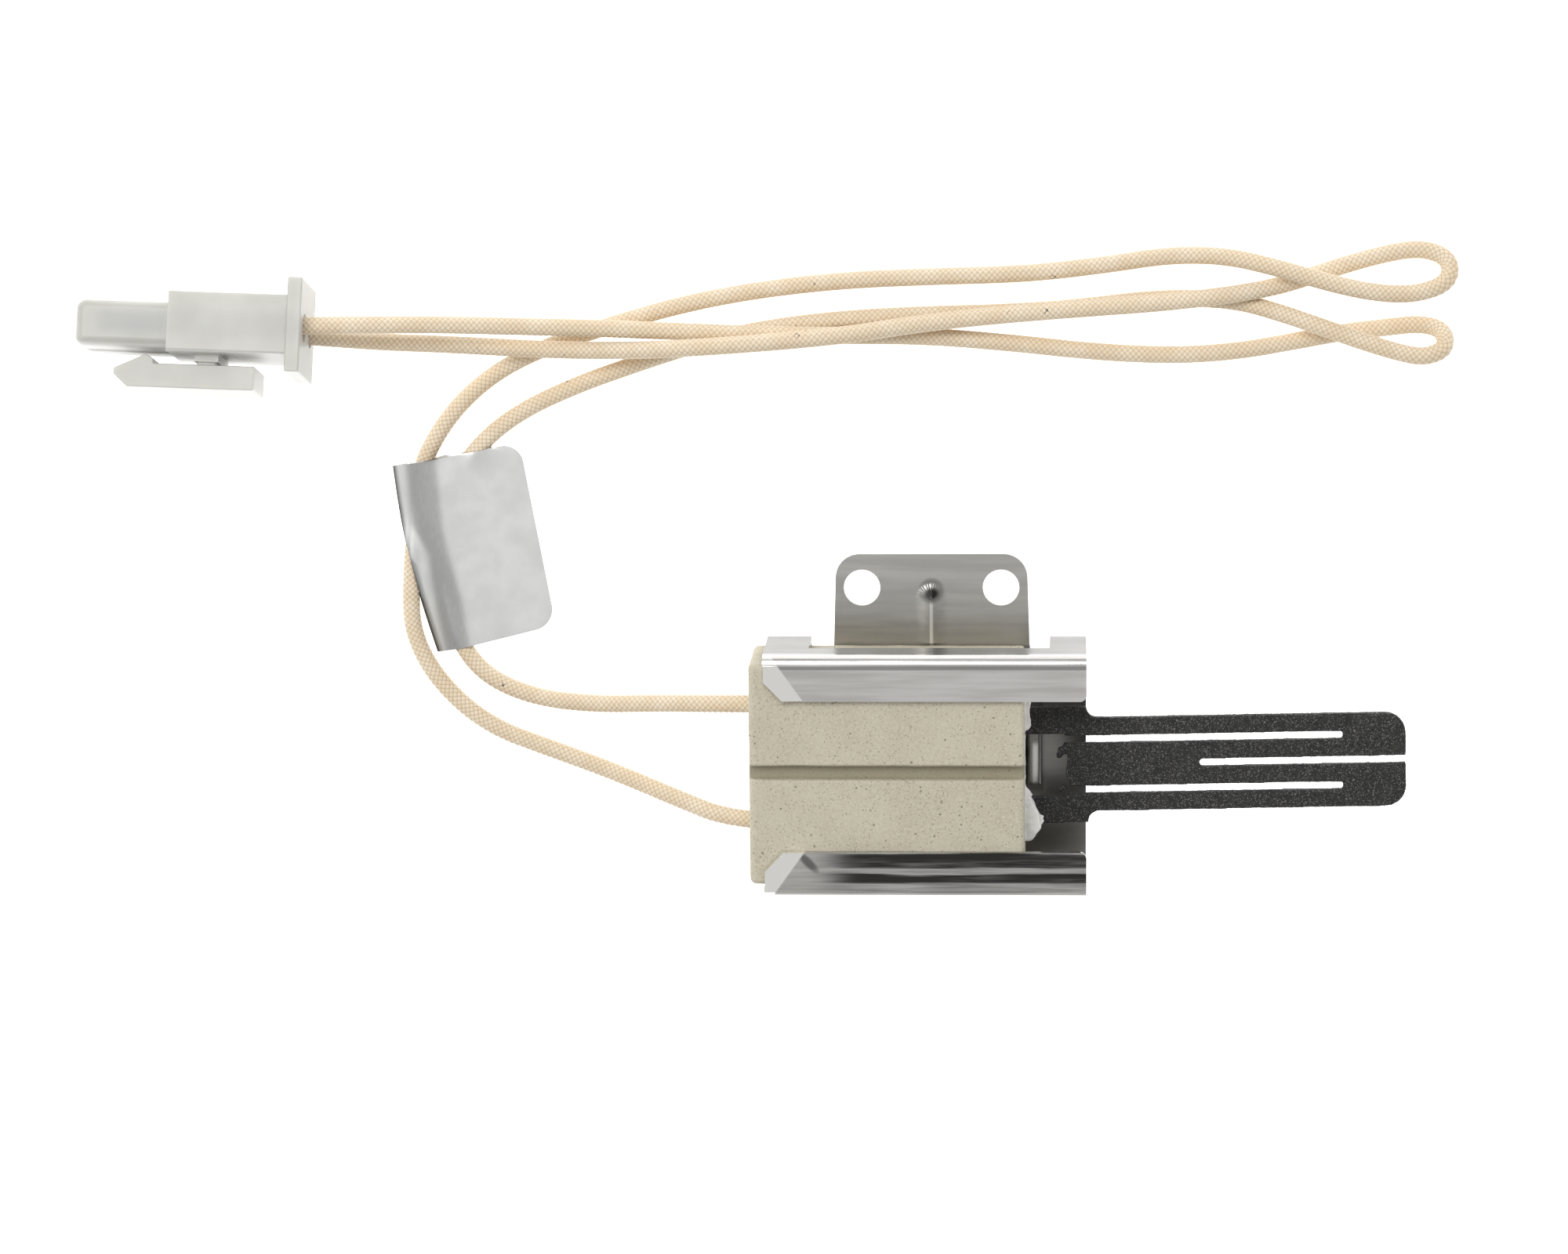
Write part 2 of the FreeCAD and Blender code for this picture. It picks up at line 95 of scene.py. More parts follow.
# %% Routes of the leads, as control points in metres
lead_diameter = 0.0024
lower_route = [
    (-0.0170, -0.0313, 0.0083), (-0.0268, -0.0313, 0.0083), (-0.0359, -0.0283, 0.0049),
    (-0.0439, -0.0257, 0.0014), (-0.0520, -0.0227, 0.00125), (-0.0612, -0.0193, 0.00125),
    (-0.0680, -0.0132, 0.00125), (-0.0716, -0.0063, 0.00125), (-0.0716, 0.0013, 0.00125),
    (-0.0708, 0.0087, 0.00125), (-0.0703, 0.0164, 0.00125), (-0.0661, 0.0239, 0.00125),
    (-0.0602, 0.0295, 0.00125), (-0.0531, 0.0332, 0.00125), (-0.0450, 0.0359, 0.00125),
    (-0.0358, 0.0387, 0.00125), (-0.0252, 0.0409, 0.00125), (-0.0124, 0.0424, 0.00125),
    (0.0004, 0.0429, 0.00125), (0.0132, 0.0432, 0.00125), (0.0238, 0.0444, 0.00125),
    (0.0322, 0.0457, 0.00125), (0.0396, 0.0457, 0.0020), (0.0461, 0.0445, 0.0043),
    (0.0550, 0.0419, 0.0049), (0.0611, 0.0407, 0.0046), (0.0659, 0.0407, 0.0042),
    (0.0699, 0.0422, 0.0038), (0.0701, 0.0452, 0.0022), (0.0664, 0.0466, 0.0015),
    (0.0613, 0.0458, 0.00125), (0.0543, 0.0438, 0.00125), (0.0481, 0.0417, 0.0019),
    (0.0408, 0.0406, 0.00395), (0.0311, 0.0395, 0.0040), (0.0206, 0.0388, 0.0040),
    (0.0089, 0.0379, 0.0040), (-0.0017, 0.0368, 0.0042), (-0.0112, 0.0355, 0.0058),
    (-0.0196, 0.0348, 0.0067), (-0.0303, 0.0340, 0.0066), (-0.0410, 0.0333, 0.0049),
    (-0.0528, 0.0334, 0.0041), (-0.0645, 0.0342, 0.0046), (-0.0774, 0.0349, 0.0063),
    (-0.08885, 0.0360, 0.0063)]
upper_route = [
    (-0.0170, -0.0148, 0.0083), (-0.0275, -0.0148, 0.0083), (-0.0374, -0.0154, 0.0047),
    (-0.0468, -0.0162, 0.0015), (-0.0551, -0.0152, 0.00125), (-0.0617, -0.0121, 0.0014),
    (-0.0653, -0.0070, 0.0015), (-0.0667, -0.0005, 0.0015), (-0.0674, 0.0063, 0.0015),
    (-0.0662, 0.0133, 0.0015), (-0.0624, 0.0195, 0.0014), (-0.0565, 0.0244, 0.00125),
    (-0.0483, 0.0282, 0.00125), (-0.0397, 0.0312, 0.00125), (-0.0314, 0.0339, 0.00125),
    (-0.0225, 0.0359, 0.00125), (-0.0124, 0.0371, 0.00125), (-0.0017, 0.0377, 0.00125),
    (0.0089, 0.0379, 0.00125), (0.0195, 0.0385, 0.00125), (0.0280, 0.0396, 0.00125),
    (0.0354, 0.0399, 0.00125), (0.0418, 0.0394, 0.00125), (0.0469, 0.0381, 0.0026),
    (0.0515, 0.0367, 0.0042), (0.0581, 0.0344, 0.0049), (0.0630, 0.0329, 0.0053),
    (0.0666, 0.0322, 0.0055), (0.0696, 0.0333, 0.0046), (0.0693, 0.0356, 0.0021),
    (0.0661, 0.0363, 0.0013), (0.0619, 0.0358, 0.00125), (0.0561, 0.0352, 0.00125),
    (0.0492, 0.0339, 0.00125), (0.0418, 0.0326, 0.00125), (0.0333, 0.0320, 0.00125),
    (0.0227, 0.0325, 0.00125), (0.0110, 0.0338, 0.00125), (0.0004, 0.0347, 0.0013),
    (-0.0081, 0.0350, 0.0023), (-0.0166, 0.0352, 0.00385), (-0.0261, 0.0355, 0.00405),
    (-0.0357, 0.0359, 0.0040), (-0.0463, 0.0364, 0.0044), (-0.0568, 0.0369, 0.0064),
    (-0.0660, 0.0375, 0.0092), (-0.0776, 0.0379, 0.0122), (-0.08882, 0.0377, 0.0125)]
print("control points:", len(lower_route), "and", len(upper_route))

# %% One smooth line through each route
def smooth_line(name, route):
    """Points read along the open NURBS spline that has the route as its control points."""
    curve = bpy.data.curves.new(name, "CURVE")
    curve.dimensions = "3D"
    curve.resolution_u = 24
    spline = curve.splines.new("NURBS")
    spline.points.add(len(route) - 1)
    for point, place in zip(spline.points, route):
        point.co = (*place, 1)
    spline.order_u = 3
    spline.use_endpoint_u = True
    holder = bpy.data.objects.new(name, curve)
    bpy.context.scene.collection.objects.link(holder)
    line = bpy.data.meshes.new_from_object(holder)
    points = np.array([vertex.co[:] for vertex in line.vertices])
    bpy.data.objects.remove(holder)
    return points


def line_length(points):
    return float(np.linalg.norm(np.diff(points, axis=0), axis=1).sum())


lower_line = smooth_line("lower_line", lower_route)
upper_line = smooth_line("upper_line", upper_route)
for line_name, line in (("lower", lower_line), ("upper", upper_line)):
    print(line_name, "lead: %.1f mm" % (line_length(line) / mm))

# %% [markdown]
# The sleeve is braided from sixteen flat glass-fibre yarns, eight that wind each way. A smooth
# tube with a bump would look printed, so the mesh itself follows the braid. Its points sit on
# the yarns' own slanting lines, three steps to each crossing: low in the gaps and high on the
# yarn, so every crossing is a small pillow. The pillow's height also rocks over and under.

# %% The braided sleeve
yarns_each_way = 8
steps_per_crossing = 3
braid_lay = 0.0062          # length in which a yarn goes round once
pillow_height = 0.00011
weave_height = 0.00003


def frames_along(points):
    """Directions across the line that don't twist: each is the last one, turned with the line."""
    ahead = np.gradient(points, axis=0)
    ahead /= np.linalg.norm(ahead, axis=1)[:, None]
    side = np.zeros_like(points)
    side[0] = np.cross(ahead[0], (0.0, 0.0, 1.0))
    for i in range(1, len(points)):
        side[i] = side[i - 1] - ahead[i] * (side[i - 1] @ ahead[i])
    side /= np.linalg.norm(side, axis=1)[:, None]
    for i in range(1, len(points)):
        flat = side[i - 1] - ahead[i] * (side[i - 1] @ ahead[i])
        side[i] = flat / np.linalg.norm(flat)
    return side, np.cross(ahead, side)


def at_equal_steps(points, step):
    """The line again, with points the same step apart."""
    along = np.concatenate(([0.0], np.cumsum(np.linalg.norm(np.diff(points, axis=0), axis=1))))
    count = int(along[-1] / step) + 1
    places = np.linspace(0.0, along[-1], count)
    return np.stack([np.interp(places, along, points[:, axis]) for axis in range(3)], axis=1)


def link(name, mesh):
    piece = bpy.data.objects.new(name, mesh)
    bpy.context.scene.collection.objects.link(piece)
    return piece


def braided_sleeve(name, line, radius):
    """A tube whose points lie on the braid's own diagonals."""
    half_steps = 2 * yarns_each_way * steps_per_crossing
    around = half_steps // 2
    path = at_equal_steps(line, braid_lay / half_steps)
    across, upward = frames_along(path)
    rows = len(path)
    row = np.repeat(np.arange(rows), around)
    slot = np.tile(np.arange(around), rows) * 2 + row % 2
    angle = slot * 2 * math.pi / half_steps
    one_way = (slot + row) / 2 / steps_per_crossing
    other_way = (slot - row) / 2 / steps_per_crossing
    crossing = np.sin(math.pi * one_way) * np.sin(math.pi * other_way)
    pillow = np.sqrt(np.abs(crossing)) * pillow_height + crossing * weave_height
    reach = radius - pillow_height * 0.75 + pillow
    points = (path[row] + (across[row] * np.cos(angle)[:, None]
                           + upward[row] * np.sin(angle)[:, None]) * reach[:, None])
    faces = []
    for r in range(rows - 2):
        for k in range(around):
            left = (k - 1) % around if r % 2 == 0 else k
            right = k if r % 2 == 0 else (k + 1) % around
            faces.append((r * around + k, (r + 1) * around + right,
                          (r + 2) * around + k, (r + 1) * around + left))
    for r in (0, rows - 2):
        for k in range(around):
            ahead = (k + 1) % around
            between = k if r % 2 == 0 else ahead
            if r == 0:
                faces.append((k, ahead, around + between))
            else:
                low = r * around
                before = (k - 1) % around if r % 2 == 0 else k
                middle = k if r % 2 == 0 else (k + 1) % around
                faces.append((low + k, low + around + middle, low + around + before))
    faces.append(tuple(range(around))[::-1])
    faces.append(tuple(range((rows - 1) * around, rows * around)))
    mesh = bpy.data.meshes.new(name)
    mesh.from_pydata(points.tolist(), [], faces)
    turn_share = slot / half_steps
    length_share = row * (1.0 / half_steps)
    corner_vertex = np.zeros(len(mesh.loops), int)
    mesh.loops.foreach_get("vertex_index", corner_vertex)
    u = turn_share[corner_vertex]
    starts = np.array([polygon.loop_start for polygon in mesh.polygons])
    totals = np.array([polygon.loop_total for polygon in mesh.polygons])
    owner = np.repeat(np.arange(len(starts)), totals)
    widest = np.zeros(len(starts))
    np.maximum.at(widest, owner, u)
    u = np.where((widest[owner] > 0.75) & (u < 0.25), u + 1.0, u)
    layer = mesh.uv_layers.new(name="braid")
    layer.data.foreach_set("uv", np.stack([u, length_share[corner_vertex]], axis=1).ravel())
    mesh.polygons.foreach_set("use_smooth", [True] * len(mesh.polygons))
    mesh.update()
    print(name, "has", len(mesh.polygons), "faces")
    return link(name, mesh)


lower_braid = braided_sleeve("braid_lower", lower_line, lead_diameter / 2)
upper_braid = braided_sleeve("braid_upper", upper_line, lead_diameter / 2)

# %% [markdown]
# Finishes are worked out in the shader from where a point lies on the igniter. Writing each
# sum as Math nodes by hand is long and hard to read, so a small class wraps a node's output
# and lets Python's own signs add the nodes. `Finish` holds one material and adds any other
# node with one method.

# %% Sums on shader outputs
class Reading:
    """One output of a shader node; sums on it add Math nodes."""

    def __init__(self, tree, output):
        self.tree = tree
        self.output = output

    def sum(self, operation, *values):
        node = self.tree.nodes.new("ShaderNodeMath")
        node.operation = operation
        for socket, value in zip(node.inputs, values):
            if isinstance(value, Reading):
                self.tree.links.new(value.output, socket)
            else:
                socket.default_value = value
        return Reading(self.tree, node.outputs[0])

    def __add__(self, other):
        return self.sum("ADD", self, other)

    def __radd__(self, other):
        return self.sum("ADD", other, self)

    def __sub__(self, other):
        return self.sum("SUBTRACT", self, other)

    def __rsub__(self, other):
        return self.sum("SUBTRACT", other, self)

    def __mul__(self, other):
        return self.sum("MULTIPLY", self, other)

    def __abs__(self):
        return self.sum("ABSOLUTE", self)

    def sine(self):
        return self.sum("SINE", self)

    def whole(self):
        return self.sum("FLOOR", self)

    def between(self, low, high):
        """0 below low, 1 above high, and a smooth rise from one to the other."""
        node = self.tree.nodes.new("ShaderNodeMapRange")
        node.interpolation_type = "SMOOTHSTEP"
        self.tree.links.new(self.output, node.inputs["Value"])
        node.inputs["From Min"].default_value = low
        node.inputs["From Max"].default_value = high
        return Reading(self.tree, node.outputs["Result"])

    def within(self, low, high, soft):
        """1 from low to high and 0 outside, over edges that are soft wide."""
        return self.between(low - soft, low) * (1 - self.between(high, high + soft))

    def near(self, middle, half_width, soft):
        """1 within half_width of the middle, and a fall to 0 outside it."""
        return 1 - abs(self - middle).between(half_width, half_width + soft)


class Finish:
    """One material, built node by node round its Principled shader."""

    def __init__(self, name, **constants):
        self.material = bpy.data.materials.new(name)
        self.material.use_nodes = True
        self.tree = self.material.node_tree
        self.shader = self.tree.nodes["Principled BSDF"]
        for socket, value in constants.items():
            self.shader.inputs[socket.replace("_", " ")].default_value = value

    def node(self, kind, settings=None, inputs=None, output=0):
        """Any node: its settings first, then the values or links of its sockets."""
        node = self.tree.nodes.new(kind)
        for key, value in (settings or {}).items():
            setattr(node, key, value)
        for key, value in (inputs or {}).items():
            if isinstance(value, Reading):
                self.tree.links.new(value.output, node.inputs[key])
            else:
                node.inputs[key].default_value = value
        return Reading(self.tree, node.outputs[output])

    def place(self):
        """Where a point lies in the igniter's own frame, in metres."""
        return self.node("ShaderNodeTexCoord", output="Object")

    def axes(self, vector):
        return [self.node("ShaderNodeSeparateXYZ", inputs={0: vector}, output=axis) for axis in range(3)]

    def noise(self, size, detail=3.0, stretch=(1.0, 1.0, 1.0)):
        """Cloudy noise from 0 to 1, whose patches are about size metres wide."""
        scaled = self.node("ShaderNodeVectorMath", {"operation": "MULTIPLY"},
                           {0: self.place(), 1: tuple(part / size for part in stretch)})
        return self.node("ShaderNodeTexNoise", None,
                         {"Vector": scaled, "Scale": 1.0, "Detail": detail, "Roughness": 0.55})

    def specks(self, size, share):
        """1 in scattered round specks about size metres apart, 0 elsewhere."""
        scaled = self.node("ShaderNodeVectorMath", {"operation": "MULTIPLY"},
                           {0: self.place(), 1: (1 / size, 1 / size, 1 / size)})
        return 1 - self.node("ShaderNodeTexVoronoi", None,
                             {"Vector": scaled, "Scale": 1.0}).between(share * 0.7, share)

    def mix(self, amount, first, second):
        """A colour between two others."""
        inputs = {0: amount}
        for key, colour in ((6, first), (7, second)):
            inputs[key] = colour if isinstance(colour, Reading) else (*colour, 1)
        return self.node("ShaderNodeMix", {"data_type": "RGBA"}, inputs, output=2)

    def bump(self, height, distance, strength=1.0):
        return self.node("ShaderNodeBump", None,
                         {"Height": height, "Distance": distance, "Strength": strength})

    def set(self, **links):
        """Feed readings into the shader's own sockets."""
        for socket, value in links.items():
            self.tree.links.new(value.output, self.shader.inputs[socket.replace("_", " ")])
        return self.material


print("shader helpers ready")

# %% [markdown]
# Glass-fibre yarn is a warm cream. Its flat yarns are bundles of fine filaments that run
# along the yarn, and the gaps between the yarns are darker and browner. The braid's own
# coordinates give both slants: their sum counts the yarns that wind one way and their
# difference the others, so the shader knows each crossing and which yarn is on top.

# %% Finish: glass-fibre braid
filament_rate = 46.0        # radians of fine lines across one yarn


def glass_braid():
    yarn = Finish("glass_braid", Roughness=0.72, Sheen_Weight=0.15, Sheen_Roughness=0.4)
    turn_share, lays, _ = yarn.axes(yarn.node("ShaderNodeUVMap", {"uv_map": "braid"}))
    one_way = (turn_share + lays) * yarns_each_way
    other_way = (turn_share - lays) * yarns_each_way
    crossing = (one_way * math.pi).sine() * (other_way * math.pi).sine()
    gap = 1 - abs(crossing).between(0.02, 0.42)
    top = crossing.between(-0.05, 0.05)
    along_one, along_other = ((way * filament_rate).sine() for way in (one_way, other_way))
    filaments = (along_one * (1 - top) + along_other * top) * 0.5 + 0.5
    cell = yarn.node("ShaderNodeCombineXYZ", None, {0: one_way.whole(), 1: other_way.whole(), 2: 0.0})
    chance = yarn.node("ShaderNodeTexWhiteNoise", {"noise_dimensions": "3D"}, {"Vector": cell})
    patches = yarn.noise(0.004, detail=2.0).between(0.35, 0.7)
    cream = yarn.mix(patches, (0.73, 0.615, 0.455), (0.79, 0.70, 0.555))
    yarns = yarn.mix(chance * 0.35, cream, (0.76, 0.60, 0.40))
    grooved = yarn.mix((1 - filaments) * 0.12, yarns, (0.62, 0.46, 0.28))
    # the gaps between the yarns are made darker and browner
    gaps_darker = yarn.mix(gap * 0.55, grooved, (0.40, 0.28, 0.16))
    smudge = yarn.specks(0.0035, 0.13) * yarn.noise(0.012, detail=1.0).between(0.52, 0.62)
    colour = yarn.mix(smudge * gap, gaps_darker, (0.06, 0.06, 0.06))
    height = filaments * 0.3 + abs(crossing)
    return yarn.set(Base_Color=colour, Normal=yarn.bump(height, 0.00003, 0.6))


braid_finish = glass_braid()
for braid in (lower_braid, upper_braid):
    braid.data.materials.append(braid_finish)
print("braid finish on both leads")

# %% [markdown]
# The bracket is one piece of bright rolled stainless sheet. It reflects like a soft mirror,
# and rolling and handling leave long fine scratches along X: noise stretched a hundred times,
# in the roughness and in a very low bump. The folded lips were rubbed smoother than the tab.
# Their colours carry painted reflection: the upper lip brighter than the tab, the lower lip
# darker, with two dark bands and a lighter left end. Painted shade and painted highlights lie
# at the pressed rib, at the lips' bends and corners, on the outer wall, on the back plate and on
# the pressed stop.

# %% Finish: rolled stainless sheet
bracket_low, bracket_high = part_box("mounting_bracket")
lip_bottom = bracket_high.z - 0.0025
channel_mid_y = bracket_low.y + 0.0166
mouth_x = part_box("ceramic_block")[1].x
wall_y = -0.0067                            # the channel's upper wall, outside
bend_y = -0.0083                            # where the upper lip's bend ends
crease_x, crease_off = -0.0204, 0.0152      # the entry corners' creases: X, and Y off the middle
crease_run, crease_fall = 3.4, 4.8          # and their slope
dark_reflection_bands = ((-0.0348, 0.0008), (-0.0373, 0.0005))   # painted dark reflection on the lower lip: middle and half width
dark_patch_x, dark_patch_y, dark_patch_slant = -0.0165, -0.0351, 0.8   # a darker oval patch beside the lower crease
rib_cap_y, rib_end_y = -0.0004, -0.0007     # the pressed rib's rounded end, and the painted shade in it
stop_x, stop_y = 0.0142, -0.0243            # the pressed stop's highlight
stop_right, stop_low, stop_high = 0.0152, -0.0280, -0.0160


def oval(x, y, place, squash, inner, outer):
    """1 in an oval round a place on the sheet, 0 outside; the radii are measured along Y."""
    across, along = x - place[0], y - place[1]
    return 1 - (across * across * squash + along * along).between(inner ** 2, outer ** 2)


def tab_tone(sheet, x, y, streaks):
    """The tab is painted darker towards its bend; the pressed rib gets painted shade at its end and a painted
    highlight along its crest.
    """
    tone = sheet.mix(streaks.between(0.35, 0.7), (0.47, 0.46, 0.435), (0.56, 0.55, 0.52))
    # painted shade: the tab darker towards its bend
    tone = sheet.mix((1 - y.between(-0.008, 0.004)) * 0.38, tone, (0.26, 0.25, 0.225))
    # painted shade over the rib's rounded end
    rib_cap_shade = oval(x, y, (0.0, rib_cap_y), 1.0, 0.0011, 0.0020)
    tone = sheet.mix(rib_cap_shade * 0.72, tone, (0.16, 0.155, 0.145))
    # painted highlight along the rib's crest
    rib_crest_highlight = x.near(0.0, 0.00012, 0.0002) * y.within(-0.0078, -0.0024, 0.0007)
    tone = sheet.mix(rib_crest_highlight * 0.8, tone, (0.95, 0.94, 0.90))
    # painted shade in the rib's end
    rib_end_shade = oval(x, y, (0.0, rib_end_y), 0.65, 0.0003, 0.0010)
    return sheet.mix(rib_end_shade * 0.97, tone, (0.012, 0.012, 0.011))


def lips_tone(sheet, x, y, streaks):
    """The two folded lips in painted reflection: dark bands, dark lines at the bends and bright bent corners.
    """
    wisps = sheet.noise(0.00045, stretch=(0.05, 1.0, 1.0)).between(0.35, 0.65)
    # painted reflection: the upper lip's tone brighter than the tab's, the lower lip's darker
    upper = sheet.mix(streaks.between(0.3, 0.7), (0.62, 0.60, 0.58), (0.80, 0.78, 0.76))
    lower = sheet.mix((streaks.between(0.3, 0.7) + wisps) * 0.5, (0.27, 0.265, 0.255), (0.58, 0.57, 0.55))
    # painted reflection: the lower lip lighter towards its left end
    lower = sheet.mix((1 - x.between(-0.018, -0.010)) * 0.55, lower, (0.66, 0.65, 0.62))
    tone = sheet.mix(y.between(channel_mid_y - 0.001, channel_mid_y), lower, upper)
    # painted reflection: two dark streaky bands across the lower lip
    dark_reflection = sheet.mix(wisps * streaks.between(0.4, 0.7), (0.045, 0.044, 0.042), (0.20, 0.198, 0.192))
    dark_reflection_span = x.between(-0.018, -0.008) + streaks.between(0.5, 0.8) * 0.3
    ragged = y + (streaks - 0.5) * 0.0012
    for middle, half_width in dark_reflection_bands:
        band = ragged.near(middle, half_width, 0.0003) * dark_reflection_span
        tone = sheet.mix((band * 0.95).between(0.0, 0.95), tone, dark_reflection)
    # a darker oval patch beside the lower crease
    dark_patch = oval(x + (y - dark_patch_y) * dark_patch_slant, y, (dark_patch_x, dark_patch_y), 2.86, 0.00053, 0.00177)
    tone = sheet.mix(dark_patch * 0.8, tone, (0.11, 0.108, 0.104))
    # painted dark reflection along the lower lip's outer bend
    lower_bend_dark = 1 - y.between(bracket_low.y + 0.0003, bracket_low.y + 0.0008)
    tone = sheet.mix(lower_bend_dark * 0.85, tone, (0.13, 0.125, 0.115))
    # painted dark reflection line where the upper lip's bend ends
    bend_dark_line = (y + (streaks - 0.5) * 0.0003).near(bend_y, 0.00012, 0.00028)
    tone = sheet.mix(bend_dark_line * 0.75, tone, (0.27, 0.26, 0.25))
    # painted bright reflection on the bent-out entry corners
    past_crease = (x - crease_x) * crease_fall - (crease_off - abs(y - channel_mid_y)) * crease_run
    return sheet.mix(1 - past_crease.between(-0.0008, 0.0008), tone, (0.98, 0.97, 0.93))


def stainless_sheet():
    sheet = Finish("stainless_sheet", Metallic=1.0)
    x, y, z = sheet.axes(sheet.place())
    # the lips' region: rubbed smoother than the tab, and given the painted reflection tones
    lips_rubbed_and_painted = z.between(lip_bottom - 0.001, lip_bottom + 0.001)
    scratches = sheet.noise(0.00012, detail=2.0, stretch=(0.012, 1.0, 1.0))
    streaks = sheet.noise(0.0012, stretch=(0.06, 1.0, 1.0))
    clouds = sheet.noise(0.009, detail=2.0).between(0.3, 0.75)
    tone = sheet.mix(lips_rubbed_and_painted, tab_tone(sheet, x, y, streaks), lips_tone(sheet, x, y, streaks))
    # painted dark reflection on the channel's upper wall, outside
    beside_tab = x.sum("MAXIMUM", abs(x).between(0.0125, 0.0130), z.between(0.0040, 0.0050))
    wall = y.within(wall_y - 0.0002, -0.0062, 0.0004) * z.within(0.0016, 0.0148, 0.0006) * beside_tab
    wall_dark_reflection = sheet.mix(streaks, (0.14, 0.136, 0.129), (0.25, 0.243, 0.231))
    tone = sheet.mix(wall, tone, wall_dark_reflection)
    # painted shade on the back plate inside the channel, beyond the block
    rear_plate_shade = x.between(mouth_x - 0.001, mouth_x) * (1 - z.between(0.0010, 0.0016))
    rear_plate_shade = rear_plate_shade * y.within(bracket_low.y + 0.0010, -0.0083, 0.0005)
    tone = sheet.mix(rear_plate_shade * 0.64, tone, (0.15, 0.148, 0.145))
    # painted shade over the pressed stop; its painted highlight follows
    on_stop = x.within(mouth_x + 0.0002, stop_right, 0.0002) * y.within(stop_low, stop_high, 0.001)
    on_stop = on_stop * (1 - z.between(0.0030, 0.0040))
    tone = sheet.mix(on_stop * 0.7, tone, (0.13, 0.128, 0.125))
    highlight = x.near(stop_x, 0.0001, 0.0005) * y.near(stop_y, 0.0022, 0.0012) * on_stop
    tone = sheet.mix(highlight * 0.85, tone, (0.80, 0.79, 0.77))
    roughness = 0.30 - lips_rubbed_and_painted * 0.13 + clouds * 0.05 + (scratches - 0.5) * 0.10
    height = scratches * (lips_rubbed_and_painted * 0.4 + 0.3) + streaks * 0.6
    return sheet.set(Base_Color=tone, Roughness=roughness, Normal=sheet.bump(height, 0.000010, 0.5))


# %% [markdown]
# The block is pressed and fired cordierite: a dull beige-olive body with fine dark grains and
# a few pale ones. Nothing is glossy. Two sizes of speck and a soft cloud keep it from looking
# painted, a fine bump gives the open fired grain, and the mould groove is painted darker, as
# painted shade.

# %% Finish: fired ceramic block
groove_y, groove_half = -0.02295, 0.0010


def block_ceramic():
    body = Finish("block_ceramic", Roughness=0.86)
    cloud = body.noise(0.006, detail=4.0).between(0.3, 0.7)
    grain = body.noise(0.00035)
    colour = body.mix(cloud, (0.440, 0.405, 0.310), (0.485, 0.450, 0.350))
    colour = body.mix(grain.between(0.35, 0.72) * 0.50, colour, (0.60, 0.56, 0.46))
    fine = body.specks(0.00042, 0.27) * body.noise(0.0011, detail=1.0).between(0.36, 0.52)
    colour = body.mix(fine * 0.65, colour, (0.22, 0.19, 0.13))
    dark = body.specks(0.0011, 0.17) * body.noise(0.0016, detail=1.0).between(0.48, 0.56)
    colour = body.mix(dark * 0.70, colour, (0.15, 0.13, 0.09))
    pale = body.specks(0.0019, 0.09)
    colour = body.mix(pale * 0.25, colour, (0.74, 0.71, 0.62))
    _, y, _ = body.axes(body.place())
    # painted shade in the mould groove
    groove_shade = y.near(groove_y, groove_half - 0.0002, 0.0002)
    colour = body.mix(groove_shade * 0.70, colour, (0.20, 0.18, 0.11))
    return body.set(Base_Color=colour, Normal=body.bump(grain, 0.00005, 0.5))


# %% [markdown]
# Recrystallised silicon carbide is a dark grey mass of fine crystals. Most are dull, and here
# and there a flat face turns to the light and glitters. The glitter is a cell pattern with a
# random brightness for each crystal, and the brightest few are smoother and painted pale, a
# painted glint. The blade is darker towards the block.

# %% Finish: silicon carbide
crystal_size = 0.00011


def silicon_carbide():
    crystal = Finish("silicon_carbide", Specular_IOR_Level=0.3)
    scaled = crystal.node("ShaderNodeVectorMath", {"operation": "SCALE"},
                          {0: crystal.place(), "Scale": 1 / crystal_size})
    chance = crystal.axes(crystal.node("ShaderNodeTexVoronoi", None,
                                       {"Vector": scaled, "Scale": 1.0}, output="Color"))[0]
    # painted glint: the brightest crystals pale in colour, and smoother too
    glitter = chance.between(0.80, 0.99)
    clouds = crystal.noise(0.003, detail=4.0).between(0.3, 0.7)
    dark = crystal.mix(clouds, (0.012, 0.012, 0.012), (0.022, 0.022, 0.021))
    grains = crystal.mix(chance.between(0.2, 0.8), dark, (0.034, 0.033, 0.032))
    # the blade darker, and with less glitter, towards the block
    toward_block = 1 - crystal.axes(crystal.place())[0].between(0.018, 0.030)
    grains = crystal.mix(toward_block * 0.55, grains, (0.007, 0.007, 0.007))
    colour = crystal.mix(glitter * (0.7 - toward_block * 0.25), grains, (0.23, 0.225, 0.215))
    return crystal.set(Base_Color=colour, Roughness=0.66 - glitter * 0.28,
                       Normal=crystal.bump(chance, 0.00006, 0.8))


# %% [markdown]
# The cement is a dry white refractory paste: chalky, a little grey where it is thin, with
# grains in it. The sprayed contacts, wires, splices and strands hide inside the block and the
# plug, but each still gets its own metal, so that the model can be taken apart.

# %% Finishes: cement and the hidden metals
def potting_cement():
    paste = Finish("potting_cement", Roughness=0.9)
    cloud = paste.noise(0.0018, detail=4.0).between(0.3, 0.7)
    colour = paste.mix(cloud, (0.80, 0.79, 0.76), (0.92, 0.915, 0.89))
    return paste.set(Base_Color=colour, Normal=paste.bump(paste.noise(0.0003), 0.00012, 0.7))


